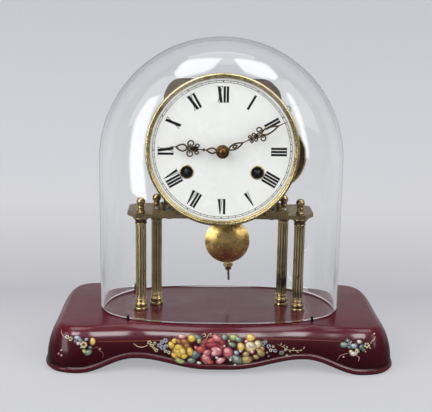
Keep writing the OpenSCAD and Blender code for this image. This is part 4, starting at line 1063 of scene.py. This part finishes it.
PINK_DOTS = (
    (61.5, 350), (58.8, 353.5), (61.5, 355.2), (73.6, 334.2), (343.5, 356.8), (374, 333.8), (351, 341.8),
    (100, 349)
)
WHITE_DOTS = (
    (365.5, 351.5), (370, 348), (363.5, 338), (81, 347.6)
)


def petal(b, px, py, rx, ry, turn, kind):
    """One touch of the loaded brush: a shaded oval, a lighter touch high on it and a dark line under it."""
    light, body, rim = KINDS[kind]
    fuller, inner = 1.14, 0.72
    rx, ry = rx * fuller, ry * fuller
    b.oval(px, py, rx, ry, turn, body, body, rim, rim, point=seed.uniform(0.0, 0.3))
    b.oval(px - rx * 0.3, py - ry * 0.42, rx * 0.62, ry * 0.5, turn + seed.uniform(-12, 12),
           light, light, body, body)
    t, below = math.radians(turn), []
    for w in [math.radians(a) for a in (-160, -115, -70, -25)]:
        u, v = rx * math.cos(w), ry * math.sin(w)
        below.append((px + ACROSS * inner * (u * math.cos(t) - v * math.sin(t)),
                      py - DOWN * inner * (u * math.sin(t) + v * math.cos(t))))
    b.line(below, 0.12 + 0.1 * min(rx, ry), rim)
    if rx + ry > 5.5:
        b.line([(x * 0.6 + px * 0.4, y * 0.6 + py * 0.4) for x, y in below], 0.3, light)


def blossom(b, px, py, r, petals, heart, n=5, lean=0.0):
    """A small flower of n round petals."""
    step = r * 0.62 / PIXEL
    for i in range(n):
        a = lean + 2 * math.pi * i / n + seed.uniform(-0.2, 0.2)
        size = r * seed.uniform(0.36, 0.48)
        b.oval(px + step * math.cos(a), py - step * math.sin(a) * 0.94, size, size * 0.84,
               math.degrees(a) + 90, petals, petals, SAGE)
    b.oval(px, py, r * 0.24, r * 0.2, 0, heart, heart, BROWN)


def centre_garland(b):
    for line in GOLD_LINES:
        b.line(line, 0.42, tint(128, 66, 44), 0.6)
    b.line(LEFT_STEM, 0.5, CREAM)
    for x, y, r in CREAM_STARS:
        blossom(b, x, y, r, CREAM, OLIVE, 5, x)
    for x, y, r in BLUE_STARS:
        blossom(b, x, y, r, WHITE if r < 1.5 else BLUE, BROWN, 5, y)
    for p in PETALS:
        petal(b, *p)
    for s in STROKES:
        b.line(*s)
    for x, y, r, colour in STARS_RIGHT:
        blossom(b, x, y, r, colour, OLIVE if r > 1.2 else colour, 5, x)
    b.line(RIGHT_STEM, 0.42, CREAM)
    for x, y, turn in TENDRIL:
        b.oval(x, y, 1.1, 0.5, turn, CREAM, CREAM, SAGE, point=0.5)


def side_sprays(b):
    for s in SPRAY_STROKES:
        b.line(*s)
    for p in SPRAY_PETALS:
        petal(b, *p)
    for x, y, r, colour, n in SPRAY_STARS:
        blossom(b, x, y, r, colour, BROWN, n, x)
    for x, y in PINK_DOTS:
        b.oval(x, y, 0.75, 0.55, 30, PINK, PALE)
    for x, y in WHITE_DOTS:
        b.oval(x, y, 0.7, 0.6, 0, WHITE, GREY)


# Pendulum, bell and the movement
def pendulum():
    """The bob is a lens with a narrow rolled edge."""
    lo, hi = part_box("pendulum_bob")
    r, half, edge = 17.7, 5.5, 0.75
    big = (r * r + half * half) / (2 * half)
    bow = [(q, big - half - math.sqrt(big * big - q * q)) for q in [r * k / 24 for k in range(1, 24)]]
    lens = [(0, -half)] + [p for p in bow if p[1] < -edge]
    lens += [(r - 0.15, -edge), (r, -0.6), (r, 0.6), (r - 0.15, edge)] + [(q, -y) for q, y in lens[::-1]]
    obj = joined("pendulum_lens", [turned(lens, tuple((lo + hi) / 2 / MM), 128, "Y")])
    settle(obj, BOB, "pendulum", ("pendulum_bob",), 40)


def bell():
    y0, r, round_r, t = 16.5, 26.5, 14.0, 1.2
    middle = (40, 0, DIAL_Z - 11.4)
    flat, spring = r - round_r, y0 + 0.4
    profile = [(r, y0), *arc(flat, spring, round_r, 0, 90, 16), (1.5, spring + round_r),
               (1.5, spring + round_r - t), *arc(flat, spring, round_r - t, 90, 0, 16), (r - t, y0)]
    cup = joined("bell_cup", [turned(profile, middle, 128, "Y")])
    settle(cup, BELL, "case", ("bell",), 40)


def carried_over():
    """The remaining CAD nodes keep their shapes and get their finish."""
    finish = {
        DARK_STEEL: "dome_pins going_winding_arbor strike_winding_arbor",
        PLATE: "top_plate",
        MOVEMENT: "front_plate back_plate plate_pillars",
        BRACKET: "bracket_left bracket_right pendulum_cock dial_posts",
        STEEL: "pendulum_rod bracket_screws column_rods column_nuts plate_nuts lifting_lever going_click "
               "strike_click hammer anchor bell_post suspension_spring",
        WHEELS: "cannon_pinion minute_wheel hour_wheel going_barrel strike_barrel intermediate_wheel "
                "centre_wheel third_wheel escape_wheel pin_wheel warning_wheel fly",
        BOB: "rating_nut"}
    for mat, names in finish.items():
        for name in names.split():
            refined(name, mat)


# Studio
PAPER = (208, 208, 212)
# how much of the paper's plain colour the camera sees; the rest is its lit surface, with the shadows
SHOWN = 0.62


def staged(name, mesh, mat):
    mesh.materials.append(mat)
    obj = placed(name, mesh)
    return obj


def paper_finish():
    """Pale paper that glows in soft bands of painted light and shade, clear from behind so that it never
    hides the clock.
    """
    f = Finish("pale_paper")
    along = f.add("ShaderNodeSeparateXYZ", {0: f.out("ShaderNodeUVMap")}).outputs[1]
    # painted light and shade: the glow of the paper grows lighter and darker in bands along it
    shades = ((0.0, PAPER), (0.30, (204, 204, 208)), (0.42, (187, 186, 191)), (0.5, (194, 194, 198)),
              (0.62, (207, 207, 211)), (0.8, (201, 202, 206)), (1.0, (196, 197, 202)))
    shade = f.ramp(along, [(at, tint(*chart)) for at, chart in shades])
    ray = f.add("ShaderNodeLightPath").outputs
    # polished things show the near end and the top of the paper weaker, and glass shows it a little stronger
    mirror = f.times(f.span(along, 0.1, 0.9, 0.28, 0.48), f.span(along, 1.0, 0.8, 0.8, 0.96))
    bounced = f.math("GREATER_THAN", ray["Glossy Depth"], 0.5)
    plain = f.out("ShaderNodeMix", {0: bounced, 2: 1.0, 3: mirror}, data_type="FLOAT")
    through = ray["Is Transmission Ray"]
    level = f.math("MULTIPLY_ADD", through, 0.12, plain)
    direct = f.math("MAXIMUM", ray["Is Camera Ray"], through)
    seen = f.math("MULTIPLY_ADD", direct, SHOWN, bounced, use_clamp=True)
    front = f.blend(seen, f.out("ShaderNodeBsdfDiffuse", {"Color": shade}),
                    f.out("ShaderNodeEmission", {"Color": shade, "Strength": level}))
    behind = f.add("ShaderNodeNewGeometry").outputs["Backfacing"]
    return f.wear(f.blend(behind, front, f.out("ShaderNodeBsdfTransparent")))


def paper_sweep():
    """Paper on the table that bends up behind the clock; the finish reads how far along it a point lies."""
    wide, bend, start, high = 6000, 260, 130, 2600
    profile = [(-wide, 0), (-300, 0), (-100, 0), (60, 0), (start, 0)]
    for a in [math.radians(d) for d in range(6, 91, 6)]:
        profile.append((start + bend * math.sin(a), bend - bend * math.cos(a)))
    profile += [(start + bend, 700), (start + bend, high)]
    marks = [0.0, 0.15, 0.28, 0.36, 0.42] + [0.42 + 0.5 * k / 15 for k in range(1, 16)] + [0.98, 1.0]
    n = len(profile)
    me = drawn("paper_sweep", [(x, y, z) for x in (-wide, wide) for y, z in profile],
               [[i, n + i, n + i + 1, i + 1] for i in range(n - 1)])
    layer = me.uv_layers.new(name="UVMap")
    for corner, loop in zip(layer.data, me.loops):
        corner.uv = (float(loop.vertex_index >= n), marks[loop.vertex_index % n])
    me.shade_smooth()
    staged("paper_sweep", me, paper_finish())


def table_top():
    """A plain table just under the paper, for views from behind."""
    f = Finish("table_cloth")
    cloth = f.out("ShaderNodeBsdfDiffuse", {"Color": tint(*PAPER)})
    glow = f.out("ShaderNodeEmission", {"Color": tint(*PAPER), "Strength": 1.0})
    seen = f.times(f.add("ShaderNodeLightPath").outputs["Is Camera Ray"], SHOWN)
    corners = [(-6000, -6000, -1), (6000, -6000, -1), (6000, 6000, -1), (-6000, 6000, -1)]
    staged("table_top", drawn("table_top", corners, [[0, 1, 2, 3]]), f.wear(f.blend(seen, cloth, glow)))


# outlines of the soft cards, which only polished things show: two stand at the front, two hang overhead
FRONT_LEFT = [
    (-414, 450), (-597, 493), (-650, 380), (-650, 260), (-594, 178), (-549, 112), (-533, 40), (-489, 15),
    (-290, 30), (-303, 52), (-320, 87), (-337, 128), (-350, 170), (-364, 214), (-375, 243)
]
FRONT_RIGHT = [
    (585, 620), (605, 548), (560, 383), (511, 257), (489, 200), (482, 150), (454, 109), (407, 109),
    (425, 140), (398, 160), (411, 185), (415, 224), (434, 290), (454, 440)
]
OVER_LEFT = [
    (-500, -230), (-365, 14), (-308, 57), (-206, 15), (-126, -22), (-49, -59), (10, -79), (-53, -323),
    (-129, -468), (-210, -497), (-326, -520), (-466, -526), (-500, -500)
]
OVER_RIGHT = [
    (84, -59), (186, -21), (290, 19), (392, 62), (487, -18), (599, -157), (640, -230), (621, -416),
    (432, -508), (304, -502), (218, -441), (147, -283)
]


def soft_cards():
    f = Finish("soft_card_glow")
    glow = f.wear(f.out("ShaderNodeEmission", {"Color": (1, 1, 1, 1), "Strength": 5.4}))
    front_y, over_z = -400, 1000
    cards = {"front_card_left": [(x, front_y, z) for x, z in FRONT_LEFT],
             "front_card_right": [(x, front_y, z) for x, z in FRONT_RIGHT],
             "over_card_left": [(x, y, over_z) for x, y in OVER_LEFT],
             "over_card_right": [(x, y, over_z) for x, y in OVER_RIGHT]}
    for name, pts in cards.items():
        card = staged(name, drawn(name, pts, [list(range(len(pts)))]), glow)
        card.visible_camera = card.visible_diffuse = card.visible_shadow = False


def sky():
    """A plain sky, weaker in polished things and a little stronger to the eye."""
    world = bpy.data.worlds.new("sky")
    scene.world = world
    world.use_nodes = True
    w = Wiring(world.node_tree)
    ray = w.add("ShaderNodeLightPath").outputs
    bounced = w.math("GREATER_THAN", ray["Glossy Depth"], 0.5)
    level = w.math("MULTIPLY_ADD", bounced, -0.34, 0.46)
    plain = w.math("MULTIPLY_ADD", ray["Is Camera Ray"], 0.14, level)
    back = world.node_tree.nodes["Background"]
    back.inputs[0].default_value = (0.93, 0.94, 0.97, 1)
    world.node_tree.links.new(plain, back.inputs[1])


def lamps(wood):
    """Three soft lamps that nothing mirrors, and two that only draw the long highlights on the wood."""
    wood_only = bpy.data.collections.new("wood_only")
    wood_only.objects.link(wood)
    for name, at, size, power, aim_z in (
            ("lamp_left", (-0.9, -0.8, 0.9), 1.2, 12.5, 0.12),
            ("lamp_right", (0.95, -0.7, 0.8), 1.1, 8.5, 0.12),
            ("lamp_over", (0.0, 0.1, 1.5), 0.9, 6.0, 0.1),
            ("sheen_left", (-0.42, -1.0, 1.0), 0.34, 7.0, 0.03),
            ("sheen_right", (0.28, -1.0, 1.0), 0.42, 10.0, 0.03)):
        data = bpy.data.lights.new(name, "AREA")
        data.shape, data.size, data.energy = "SQUARE", size, power
        lamp = placed(name, data)
        lamp.location = at
        lamp.visible_glossy = name.startswith("sheen")
        lamp.visible_diffuse = not lamp.visible_glossy
        if lamp.visible_glossy:
            lamp.light_linking.receiver_collection = wood_only
        lamp.rotation_mode = "QUATERNION"
        lamp.rotation_quaternion = (Vector((0, 0, aim_z)) - Vector(at)).to_track_quat("-Z", "Y")


set_camera()
wood = wooden_base()
glass_dome()
fluted_shafts()
column_trim()
bezel_and_dial()
hands()
pendulum()
bell()
carried_over()
brush = Brush(wood)
centre_garland(brush)
side_sprays(brush)
brush.done("painted_garland")
paper_sweep()
table_top()
soft_cards()
sky()
lamps(wood)
scene.view_settings.view_transform = "Standard"
